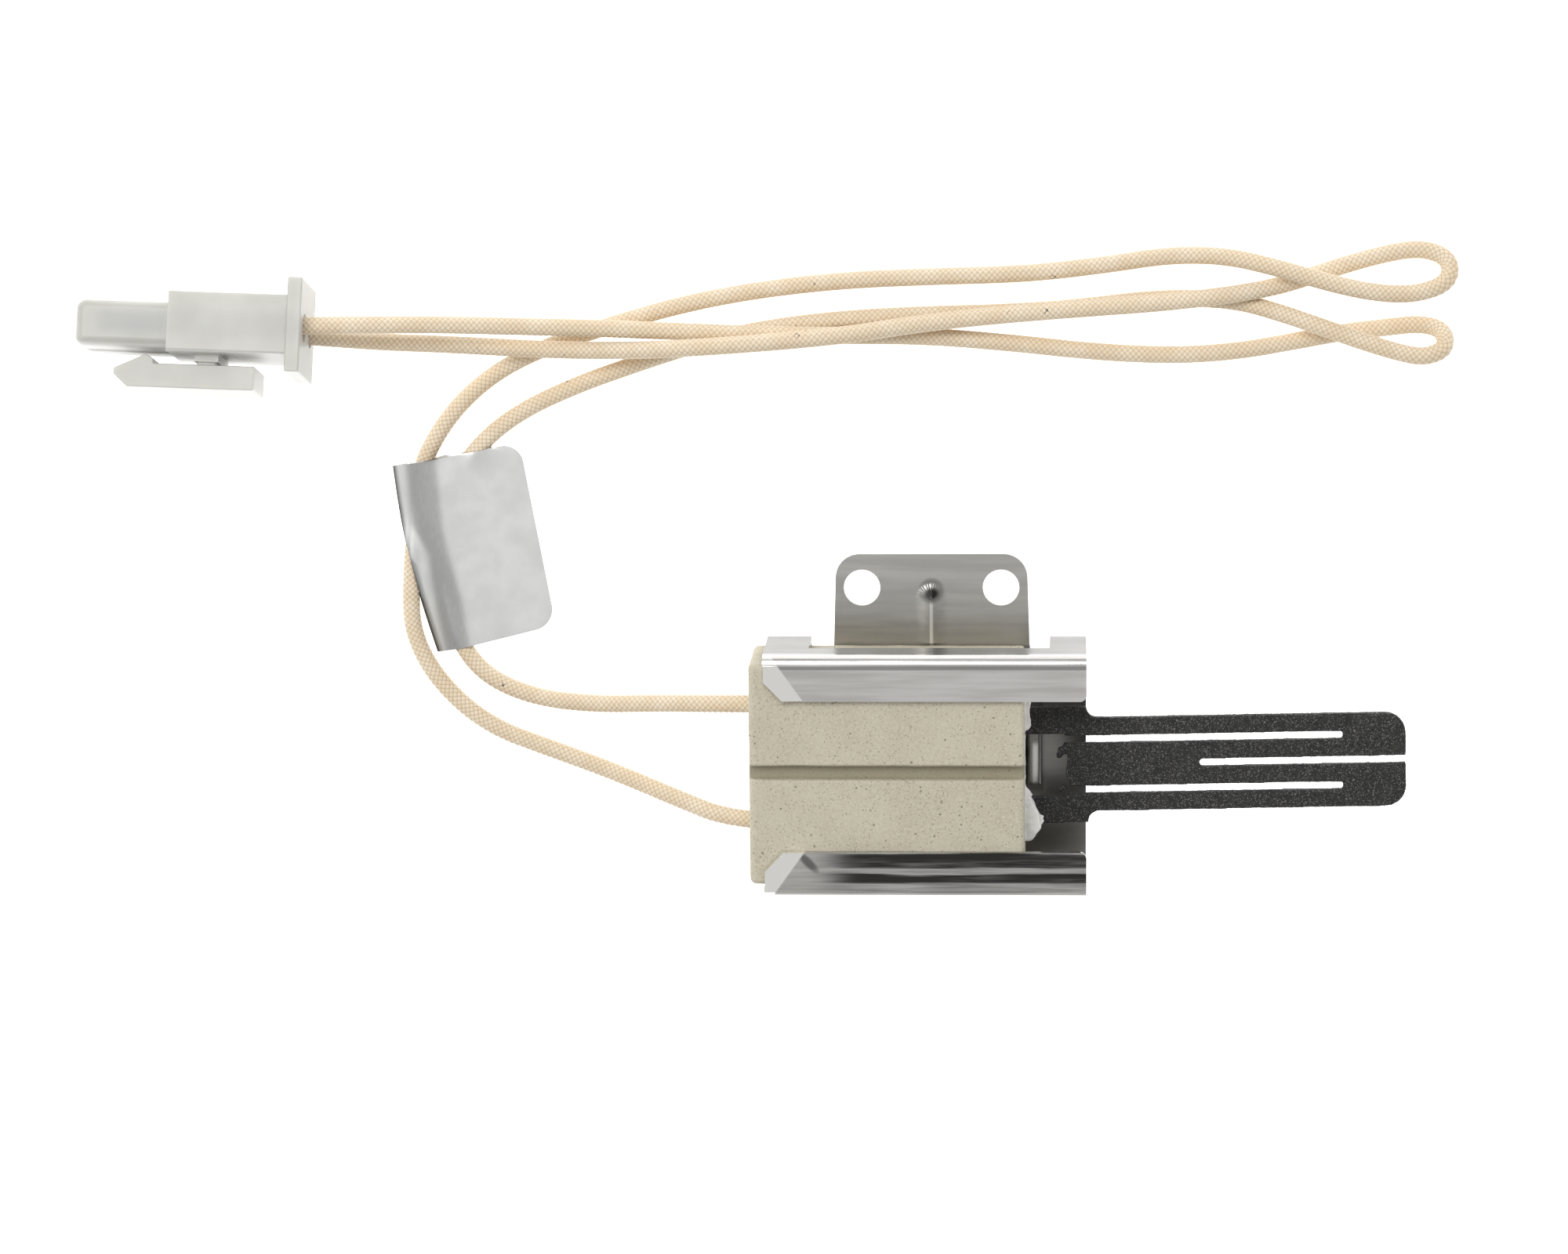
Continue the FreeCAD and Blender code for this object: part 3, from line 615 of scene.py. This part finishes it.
def drawn_metal(name, dark, bright, roughness, stretch):
    """A metal with fine marks along one direction."""
    metal = Finish(name, Metallic=1.0)
    marks = metal.noise(0.0002, stretch=stretch)
    return metal.set(Base_Color=metal.mix(marks.between(0.3, 0.7), dark, bright),
                     Roughness=roughness + (marks - 0.5) * 0.15,
                     Normal=metal.bump(marks, 0.00001, 0.5))


metal_looks = {
    "sprayed_contact": ((0.45, 0.45, 0.45), (0.62, 0.62, 0.61), 0.6, (1, 1, 1)),
    "nickel_wire": ((0.42, 0.40, 0.37), (0.60, 0.57, 0.53), 0.35, (0.05, 1, 1)),
    "steel_crimp": ((0.48, 0.48, 0.47), (0.66, 0.66, 0.64), 0.4, (1, 0.1, 0.1)),
    "nickel_strand": ((0.50, 0.47, 0.42), (0.68, 0.65, 0.58), 0.35, (0.05, 1, 1)),
    "tinned_terminal": ((0.52, 0.51, 0.48), (0.72, 0.70, 0.66), 0.3, (0.2, 1, 1))}
hidden_metals = {name: drawn_metal(name, *look) for name, look in metal_looks.items()}

# %% [markdown]
# Natural nylon is milky: light goes in, scatters and comes out again, and the metal contacts
# inside show through as soft grey shapes. Subsurface scattering gives the milk, and a tint
# along the contacts gives the grey. The sides that face down the view and the arm's end are
# painted nearly white, as painted light from the table, and the flange's outer face is painted
# greyer, as painted shade. The tints are set in the plug's own measures, which the latch's
# joint gives.

# %% Finish: natural nylon
latch_joint = frame["record"]["behaviour"]["joints"][0]
pivot, across_plug = Vector(latch_joint["pos_m"]), Vector(latch_joint["axis"]).normalized()
along_plug = Vector((across_plug.y, -across_plug.x, 0)).normalized()
out_of_plug = across_plug.cross(along_plug)
pivot_along, pivot_out = 0.0052, -0.0054    # where the joint lies in the plug's own measures
flange_along = 0.0130                       # from here on it is the flange
lit_white = (0.95, 0.945, 0.92)


def plug_nylon():
    nylon = Finish("plug_nylon", IOR=1.53, Subsurface_Weight=0.45, Subsurface_Scale=0.002,
                   Subsurface_Radius=(1.0, 0.95, 0.8), Transmission_Weight=0.22)
    from_pivot = nylon.node("ShaderNodeVectorMath", {"operation": "SUBTRACT"},
                            {0: nylon.place(), 1: pivot[:]})
    along, out = (nylon.node("ShaderNodeVectorMath", {"operation": "DOT_PRODUCT"},
                             {0: from_pivot, 1: axis[:]}, output="Value")
                  for axis in (along_plug, out_of_plug))
    along, out = along + pivot_along, out + pivot_out
    cloud = nylon.noise(0.006, detail=2.0).between(0.3, 0.7)
    fine = nylon.noise(0.00012, detail=2.0)
    colour = nylon.mix(cloud, (0.53, 0.525, 0.485), (0.585, 0.58, 0.54))
    contact = along.between(-0.0105, -0.0080) * out.near(-0.0002, 0.0006, 0.0020)
    contact = contact * (1 - along.between(-0.0012, 0.0002) * 0.8)
    colour = nylon.mix(contact * 0.45, colour, (0.34, 0.35, 0.36))
    facing_x, facing_y, _ = nylon.axes(nylon.node("ShaderNodeNewGeometry", output="Normal"))
    # painted light: the sides that face down the view nearly white
    colour = nylon.mix((0 - facing_y).between(0.2, 0.8) * 0.8, colour, lit_white)
    end_face, at_flange = facing_x.between(0.2, 0.8), along.between(flange_along - 0.001, flange_along)
    # painted shade: the flange's outer face greyer
    colour = nylon.mix(end_face * at_flange * 0.5, colour, (0.43, 0.427, 0.415))
    # painted light: the arm's end nearly white
    colour = nylon.mix(end_face * (1 - at_flange) * 0.6, colour, lit_white)
    return nylon.set(Base_Color=colour, Roughness=0.34 + fine * 0.12,
                     Normal=nylon.bump(fine, 0.000012, 0.4))


# %% [markdown]
# The tag is thin aluminium foil with a satin face: brighter than the bracket, with a fine
# rolled grain along its length and a few small dents and handling marks. A band where it
# curves over the leads is painted darker, as painted reflection, and a line along its fold is
# painted dark, as painted shade; the mesh carries both as a value of its own.

# %% Finish: satin foil
def tag_foil():
    foil = Finish("tag_foil", Metallic=0.85)
    grain = foil.noise(0.00015, stretch=(1.0, 0.15, 1.0))
    cloud = foil.noise(0.004).between(0.3, 0.7)
    painted_dark = foil.axes(foil.node("ShaderNodeAttribute", {"attribute_name": "painted_dark_band_and_fold"}, output="Vector"))[0]
    colour = foil.mix(cloud, (0.76, 0.765, 0.75), (0.81, 0.815, 0.80))
    # painted reflection: the band over the leads darker
    colour = foil.mix(painted_dark, colour, foil.mix(grain, (0.36, 0.36, 0.35), (0.50, 0.50, 0.49)))
    # painted shade: a dark line along the fold
    colour = foil.mix(painted_dark.between(1.0, 2.0), colour, (0.06, 0.06, 0.058))
    return foil.set(Base_Color=colour, Roughness=0.42 + (grain - 0.5) * 0.12 + cloud * 0.05,
                    Normal=foil.bump(grain + cloud * 2.0, 0.00001, 0.5))


finishes = {"stainless_sheet": stainless_sheet(), "block_ceramic": block_ceramic(),
            "silicon_carbide": silicon_carbide(), "potting_cement": potting_cement(),
            "plug_nylon": plug_nylon(), "tag_foil": tag_foil(), **hidden_metals}
print("finishes:", ", ".join(sorted(finishes)))

# %% [markdown]
# Every CAD node first gets the finish that the record names for it. The ones that are seen
# are then replaced by a copy with its edges broken, because no stamped, fired or moulded edge
# is perfectly sharp, and a broken edge is what catches the light.

# %% Give each CAD node its finish
slot_of = {part["node"]: part["material_slot"] for part in frame["record"]["subparts"]}
for name, node in cad.items():
    if slot_of[name] in finishes:
        node.data.materials.clear()
        node.data.materials.append(finishes[slot_of[name]])


def cleaned_copy(node, name):
    """The node's mesh in a new piece, with its corners welded and its flat faces whole again."""
    mesh = cad[node].data.copy()
    mesh.name = name
    work = bmesh.new()
    work.from_mesh(mesh)
    bmesh.ops.remove_doubles(work, verts=work.verts, dist=2e-6)
    bmesh.ops.dissolve_limit(work, angle_limit=math.radians(0.5), verts=work.verts, edges=work.edges)
    work.to_mesh(mesh)
    work.free()
    return link(name, mesh)


def settle(piece, smooth_under=None):
    """Apply the piece's modifiers and, if asked, shade it smooth except at its sharp edges."""
    view = bpy.context.evaluated_depsgraph_get()
    view.update()
    mesh = bpy.data.meshes.new_from_object(piece.evaluated_get(view))
    piece.modifiers.clear()
    piece.data = mesh
    if smooth_under:
        mesh.polygons.foreach_set("use_smooth", [True] * len(mesh.polygons))
        mesh.set_sharp_from_angle(angle=math.radians(smooth_under))
    return piece


def break_edges(piece, width, segments=2, sharper_than=38):
    """Round every sharp edge a little, and keep the big faces flat in their shading."""
    piece.data.polygons.foreach_set("use_smooth", [True] * len(piece.data.polygons))
    bevel = piece.modifiers.new("edges", "BEVEL")
    bevel.width = width
    bevel.segments = segments
    bevel.limit_method = "ANGLE"
    bevel.angle_limit = math.radians(sharper_than)
    bevel.use_clamp_overlap = True
    weighted = piece.modifiers.new("flat faces", "WEIGHTED_NORMAL")
    weighted.weight = 100
    return settle(piece)


def stands_for(piece, node, body="root"):
    """The piece takes the node's place, body and finish."""
    piece.data.materials.clear()
    piece.data.materials.append(finishes[slot_of[node]])
    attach(piece, body)
    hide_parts(node)
    print(piece.name, "stands for", node, "with", len(piece.data.polygons), "faces")
    return piece


stands_for(break_edges(cleaned_copy("mounting_bracket", "bracket_sheet"), 0.00010), "mounting_bracket")

# %% [markdown]
# The fired block is remade as an even skin of small faces, so that its surface can wander a
# few hundredths of a millimetre, as pressed and fired ceramic does. Its corners are a little
# more worn than its faces.

# %% The ceramic block
def grainy(piece, voxel, rises, seed):
    """Remesh the piece in small faces, and move them in or out by noise: (size, height) pairs."""
    remesh = piece.modifiers.new("skin", "REMESH")
    remesh.mode = "VOXEL"
    remesh.voxel_size = voxel
    remesh.use_smooth_shade = True
    settle(piece, smooth_under=180)
    mesh = piece.data
    normals = [vertex.normal.copy() for vertex in mesh.vertices]
    offset = Vector((seed * 7.1, seed * 3.3, seed * 5.7))
    for vertex, normal in zip(mesh.vertices, normals):
        rise = sum(noise.noise(vertex.co / size + offset) * height for size, height in rises)
        vertex.co += normal * rise
    mesh.update()
    return piece


block = break_edges(cleaned_copy("ceramic_block", "block_body"), 0.00018, 3)
stands_for(grainy(block, 0.00032, [(0.004, 0.00006), (0.0009, 0.00003)], seed=1), "ceramic_block")

# %% [markdown]
# The blade is sawn from a sintered plate, so its faces are rough with crystals and its edges
# are never straight. Two dark knobs of slag hang on the broken end of its middle leg. They
# are joined to the blade before the skin is remade, so that they grow out of it.

# %% The silicon-carbide blade
def with_lumps(piece, lumps):
    """The piece with small squashed balls in its mesh, each a place, a radius and a squash."""
    work = bmesh.new()
    work.from_mesh(piece.data)
    for place, radius, squash in lumps:
        shape = Matrix.Translation(Vector(place)) @ Matrix.Diagonal((*squash, 1.0))
        bmesh.ops.create_icosphere(work, subdivisions=2, radius=radius, matrix=shape)
    work.to_mesh(piece.data)
    work.free()
    return piece


blade_low, blade_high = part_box("heating_element")
blade_z = (blade_low.z + blade_high.z) / 2
slag = [((0.0178, -0.0213, blade_z), 0.00062, (1.0, 1.1, 0.8)),
        ((0.0175, -0.0219, blade_z), 0.00045, (1.0, 1.0, 0.8)),
        ((0.0181, -0.0263, blade_z), 0.00048, (1.0, 1.0, 0.8)),
        ((0.0177, -0.0267, blade_z), 0.00035, (1.0, 1.0, 0.8))]
blade = with_lumps(cleaned_copy("heating_element", "igniter_blade"), slag)
stands_for(grainy(blade, 0.0002, [(0.0014, 0.00002), (0.00035, 0.00004), (0.00018, 0.00004)], seed=2),
           "heating_element")

# %% [markdown]
# The cement was pressed into the mouth by hand. It stands a little proud round the lower ear,
# with a torn edge and a crumb, and only just shows at the upper one. Squashed balls along the
# mouth are joined with the CAD filling and remade as one lumpy skin.

# %% The potting cement
cement_rear, cement_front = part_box("potting_cement")[0].z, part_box("potting_cement")[1].z
cement_z = (cement_rear + cement_front) / 2
lower_patch = [((mouth_x + 0.0001, -0.0277, cement_z), 0.0011, (0.8, 1.1, 1.8)),
               ((mouth_x + 0.0003, -0.0292, cement_z + 0.0002), 0.0017, (0.8, 1.1, 1.5)),
               ((mouth_x + 0.0005, -0.0308, cement_z), 0.0022, (0.85, 0.9, 1.25)),
               ((mouth_x + 0.0003, -0.0325, cement_z), 0.0015, (0.9, 0.9, 1.7)),
               ((mouth_x + 0.0021, -0.0302, cement_z + 0.0010), 0.00050, (1.1, 0.7, 1.0)),
               ((mouth_x + 0.0023, -0.0308, cement_z + 0.0011), 0.00034, (1.0, 1.0, 1.0))]
upper_patch = [((mouth_x + 0.0002, -0.0172, cement_z), 0.0011, (0.7, 1.1, 1.9)),
               ((mouth_x + 0.0001, -0.0150, cement_z), 0.0011, (0.5, 1.4, 2.0))]
cement = with_lumps(cleaned_copy("potting_cement", "cement_fill"), lower_patch + upper_patch)
stands_for(grainy(cement, 0.00022, [(0.0016, 0.00012), (0.0005, 0.00007)], seed=3), "potting_cement")

# %% [markdown]
# The tag is one strip of foil, folded at its left edge and stuck to itself over the upper
# lead, and it lies on the lower one. It could be two flat plates, but then nothing would show
# that leads are in it. So the strip is a grid with rows along the tag. The top layer is a flat
# part that rises evenly to a crest, and a curved part from the crest down to the fold, and it
# rises further where a lead would come through. The bottom layer dips under the lead inside
# and rests on the other. A band of the curved part is painted darker, as painted reflection,
# and a line along the fold is painted dark, as painted shade.

# %% The folded foil tag
foil = 0.00006
foil_clearance = 0.00012
skim = 0.00004                          # the least gap over the lead inside
both_layers = 2.2 * foil                # what lies between the lower lead and the top face
tag_corners = {"low_left": (-0.0681, -0.0089), "high_left": (-0.0737, 0.0171),
               "low_right": (-0.0518, -0.0053), "high_right": (-0.0563, 0.0203)}
corner_round = 0.0027
left_bulge = 0.0008
tag_columns = 64
flat_low_z, flat_slope = 0.00042, 0.195     # the flat part's lowest corner, and its rise to the left
fold_over_lead, fold_free = 0.0017, 0.0012  # the fold's height over the lower lead, and past it
crest_back = 0.0003                     # from the painted dark band's right edge to the crest
band_ends = np.array([-8.9, -1.3, 5.0, 9.3, 17.5]) * mm      # stations along Y of the painted dark band's edges
band_right = np.array([-63.4, -64.5, -66.1, -66.9, -67.6]) * mm
band_left = np.array([-66.9, -68.3, -69.0, -71.2, -71.8]) * mm


def lead_under(line, y):
    """The lead's x and height where it crosses y, and how much of a step in x is across it."""
    near = line[(line[:, 1] > -0.0115) & (line[:, 1] < 0.0225) & (line[:, 0] < -0.055)]
    near = near[np.argsort(near[:, 1])]
    x = np.interp(y, near[:, 1], near[:, 0])
    slant = (np.interp(y + 0.0005, near[:, 1], near[:, 0]) - x) / 0.0005
    return x, np.interp(y, near[:, 1], near[:, 2]), 1 / np.sqrt(1 + slant ** 2)


def arch(offset, centre_z, radius, side=1):
    """The height of a round lead's top, or with side -1 its bottom, at an offset across it."""
    inside = np.clip(radius ** 2 - offset ** 2, 0, None)
    return np.where(np.abs(offset) < radius, centre_z + side * np.sqrt(inside), np.nan)


def eased(heights, times, keep):
    """The height field smoothed, without going past what keep says at any point."""
    for _ in range(times):
        inner = heights[1:-1, 1:-1]
        around = (heights[:-2, 1:-1] + heights[2:, 1:-1] + heights[1:-1, :-2] + heights[1:-1, 2:]) / 4
        heights[1:-1, 1:-1] = inner * 0.4 + around * 0.6
        heights = keep(heights)
    return heights


tag_height = tag_corners["high_right"][1] - tag_corners["low_right"][1]
from_end = np.array([0.0, 0.06, 0.22, 0.5, 0.85, 1.25, 1.7, 2.2, 2.7]) * mm
middle_rows = np.linspace(from_end[-1], tag_height - from_end[-1], 42)[1:-1]
row_place = np.concatenate((from_end, middle_rows, tag_height - from_end[::-1])) / tag_height
corner = {name: np.array(place) for name, place in tag_corners.items()}
row_left = corner["low_left"] + row_place[:, None] * (corner["high_left"] - corner["low_left"])
row_left[:, 0] -= left_bulge * np.sin(math.pi * row_place)
row_right = corner["low_right"] + row_place[:, None] * (corner["high_right"] - corner["low_right"])
to_end = np.minimum(row_place, 1 - row_place) * tag_height
past_straight = np.clip(corner_round - to_end, 0, None)
cut_in = corner_round - np.sqrt(np.clip(corner_round ** 2 - past_straight ** 2, 0, None))
row_right += (row_left - row_right) * (cut_in / np.linalg.norm(row_left - row_right, axis=1))[:, None]
share = np.linspace(0, 1, tag_columns + 1)
place = row_left[:, None] + share[None, :, None] * (row_right - row_left)[:, None]
tag_x, tag_y = place[..., 0], place[..., 1]

lead_radius = lead_diameter / 2
inside_x, inside_z, inside_cos = lead_under(upper_line, tag_y)
below_x, below_z, below_cos = lead_under(lower_line, tag_y)
from_inside = (tag_x - inside_x) * inside_cos
from_below = (tag_x - below_x) * below_cos
over = arch(from_inside, inside_z, lead_radius + foil_clearance)
resting = arch(from_below, below_z, lead_radius + foil_clearance)
under = arch(from_inside, inside_z, lead_radius + foil_clearance, -1)
floor_gap = 0.00005
crest_x = np.interp(tag_y, band_ends, band_right) - crest_back
flat_part = flat_low_z + (corner["low_right"][0] - tag_x) * flat_slope
beyond_lead = row_left[:, 0] < below_x[:, 0] - lead_radius * 0.6
fold_z = np.repeat(np.where(beyond_lead, fold_over_lead, fold_free)[:, None], 3, axis=1)
fold_z = eased(fold_z, 60, lambda heights: heights)[:, 1:2]
fold_z = np.repeat(fold_z, tag_columns + 1, axis=1)
from_fold = np.clip(share[None, :] * np.linalg.norm(row_right - row_left, axis=1)[:, None], 0, None)
crest = flat_low_z + (corner["low_right"][0] - crest_x) * flat_slope
to_crest = np.clip(crest_x - row_left[:, :1], 0.0005, None)
left_slope = fold_z + (crest - fold_z) * np.sin(np.clip(from_fold / to_crest, 0, 1) * math.pi / 2)
tight = np.where(tag_x < crest_x, left_slope, flat_part)


def clear_of_leads(heights):
    return np.fmax(np.fmax(heights, over + skim), resting + both_layers)


top_layer = eased(np.fmax(np.fmax(tight, over), resting + both_layers), 10, clear_of_leads)
layer_gap = np.clip(from_fold / 0.0006, 0, 1) ** 0.5 * 2 * foil
to_inside = np.clip((inside_x - row_left[:, :1]) * inside_cos - 0.0006, 0.0005, None)
sinking = fold_z + (floor_gap * 4 - fold_z) * np.clip(from_fold / to_inside, 0, 1)
dips = np.where(from_inside < 0, np.minimum(top_layer - layer_gap, sinking), top_layer - layer_gap)
dips = np.where(np.abs(from_inside) < lead_radius + foil_clearance, np.fmax(under, floor_gap), dips)


def between_leads(heights):
    heights = np.fmin(np.fmin(heights, under), top_layer - layer_gap)
    return np.maximum(np.fmax(heights, resting), floor_gap)


bottom_layer = eased(between_leads(dips), 6, between_leads)
bottom_layer[:, 0] = top_layer[:, 0] = fold_z[:, 0]
print("foil tag: top from %.2f to %.2f mm" % (top_layer.min() / mm, top_layer.max() / mm))

# %% The tag's mesh
def strip(top, bottom):
    """Values along the whole strip: from the top layer's right edge round the fold."""
    return np.concatenate((top[:, ::-1], bottom[:, 1:]), axis=1)


points = np.stack([strip(tag_x, tag_x), strip(tag_y, tag_y), strip(top_layer, bottom_layer)], axis=-1)
rows, columns = points.shape[:2]
faces = [(r * columns + c, (r + 1) * columns + c, (r + 1) * columns + c + 1, r * columns + c + 1)
         for r in range(rows - 1) for c in range(columns - 1)]
tag_mesh = bpy.data.meshes.new("foil_flag")
tag_mesh.from_pydata(points.reshape(-1, 3).tolist(), [], faces)
band_soft = 0.00022
dark_wide = np.where(tag_y < 0.004, 0.00085, 0.00055)       # of the painted shade along the fold


def edge_at(side, edge):
    """Near 1 left of the band's edge and near 0 right of it, or with side -1 the other way."""
    past = side * (tag_x - np.interp(tag_y, band_ends, edge)) / band_soft
    return 1 / (1 + np.exp(np.clip(past, -30, 30)))


# painted reflection: the band over the leads, carried as a value of the mesh
painted_dark_value = edge_at(1, band_right) * edge_at(-1, band_left)
# painted shade along the fold, on top of the band
painted_dark_value += np.clip(1.25 - from_fold / dark_wide, 0, 1) * 1.8
painted_dark = tag_mesh.attributes.new("painted_dark_band_and_fold", "FLOAT", "POINT")
painted_dark.data.foreach_set("value", strip(painted_dark_value, painted_dark_value * 0.4).reshape(-1).astype(np.float32))
tag = link("foil_flag", tag_mesh)
thick = tag.modifiers.new("foil", "SOLIDIFY")
thick.thickness = foil
thick.offset = 0
settle(tag, smooth_under=50)
stands_for(tag, "foil_tag")
strip_width = sum(face.area for face in tag.data.polygons) / 2 / tag_height
print("foil strip %.1f by %.1f mm before folding" % (strip_width / mm, tag_height / mm))

# %% [markdown]
# The plug's housing and its latch arm are one moulding on the real plug, joined by a short
# flexible neck. Here they are two CAD bodies with a hinge between them. Their copies get
# moulded radii, and the neck is a small bar with a waist between the two bodies.
# The joint gives the neck its place: it lies along the joint's axis.

# %% The plug and its latch
shell = stands_for(break_edges(cleaned_copy("plug_housing", "plug_shell"), 0.00018, 3), "plug_housing")
lever = stands_for(break_edges(cleaned_copy("latch_arm", "latch_lever"), 0.00022, 3), "latch_arm", "latch")

neck_half_width, neck_half_height = 0.00485, 0.00075
neck_thick, neck_waist, side_waist = 0.0015, 0.00125, 0.0002
neck_rows = 9


def latch_neck():
    """A bar across the plug, thinner at mid-height, from the pillar to the arm."""
    work = bmesh.new()
    rings = []
    for row in range(neck_rows):
        height = (row / (neck_rows - 1) * 2 - 1) * neck_half_height
        bow = 1 - (height / neck_half_height) ** 2
        half = neck_thick - (neck_thick - neck_waist) * bow
        wide = neck_half_width - bow * side_waist
        middle = pivot + out_of_plug * height
        rings.append([work.verts.new(middle + along_plug * u * half + across_plug * w * wide)
                      for u, w in ((-1, -1), (1, -1), (1, 1), (-1, 1))])
    for lower, upper in zip(rings, rings[1:]):
        for k in range(4):
            work.faces.new((lower[k], lower[(k + 1) % 4], upper[(k + 1) % 4], upper[k]))
    work.faces.new(rings[0][::-1])
    work.faces.new(rings[-1])
    bmesh.ops.recalc_face_normals(work, faces=work.faces)
    mesh = bpy.data.meshes.new("latch_neck")
    work.to_mesh(mesh)
    work.free()
    return link("latch_neck", mesh)


neck = break_edges(latch_neck(), 0.00012)
neck.data.materials.append(finishes["plug_nylon"])
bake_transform(neck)

# %% [markdown]
# Both leads take the place of their CAD nodes on the root body, and the length that each
# curve really has is printed. Each starts where it comes out of the block's left face, and the
# plug with its contacts is at the far end.

for braid, line, node in ((upper_braid, upper_line, "lead_upper"), (lower_braid, lower_line, "lead_lower")):
    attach(braid, "root")
    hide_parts(node)
    line_length(line)
    print(node, "declared, %.4f m" % line_length(line))

# %% [markdown]
# The scene is a pale floor in soft light, as on a light table. The floor glows, so it stays
# white and lights the igniter's sides. The world is an even grey-white for the flat metal to
# reflect, and one soft lamp beyond the plug gives the highlights.

# %% Floor, world and lamp
floor_half, floor_drop = 3.0, 0.00002
floor_mesh = bpy.data.meshes.new("floor")
floor_mesh.from_pydata([(x * floor_half, y * floor_half, 0) for x, y in ((-1, -1), (1, -1), (1, 1), (-1, 1))],
                       [], [(0, 1, 2, 3)])
floor = link("floor", floor_mesh)
floor.location.z = -floor_drop
floor_finish = Finish("pale_floor", Roughness=1.0, Specular_IOR_Level=0.0, Base_Color=(0.9, 0.9, 0.9, 1),
                      Emission_Color=(1, 1, 1, 1), Emission_Strength=1.0)
floor.data.materials.append(floor_finish.material)

world = bpy.data.worlds.new("studio")
bpy.context.scene.world = world
world.use_nodes = True
sky = world.node_tree.nodes["Background"]
sky.inputs["Color"].default_value = (1, 1, 1, 1)
sky.inputs["Strength"].default_value = 0.62

lamp_data = bpy.data.lights.new("top_light", "AREA")
lamp_data.shape = "RECTANGLE"
lamp_data.size, lamp_data.size_y = 0.6, 0.4
lamp_data.energy = 5.0
lamp = link("top_light", lamp_data)
lamp.location = (-0.25, 0.45, 0.75)
lamp.rotation_euler = (-lamp.location).to_track_quat("-Z", "Y").to_euler()
print("floor, world and lamp ready")
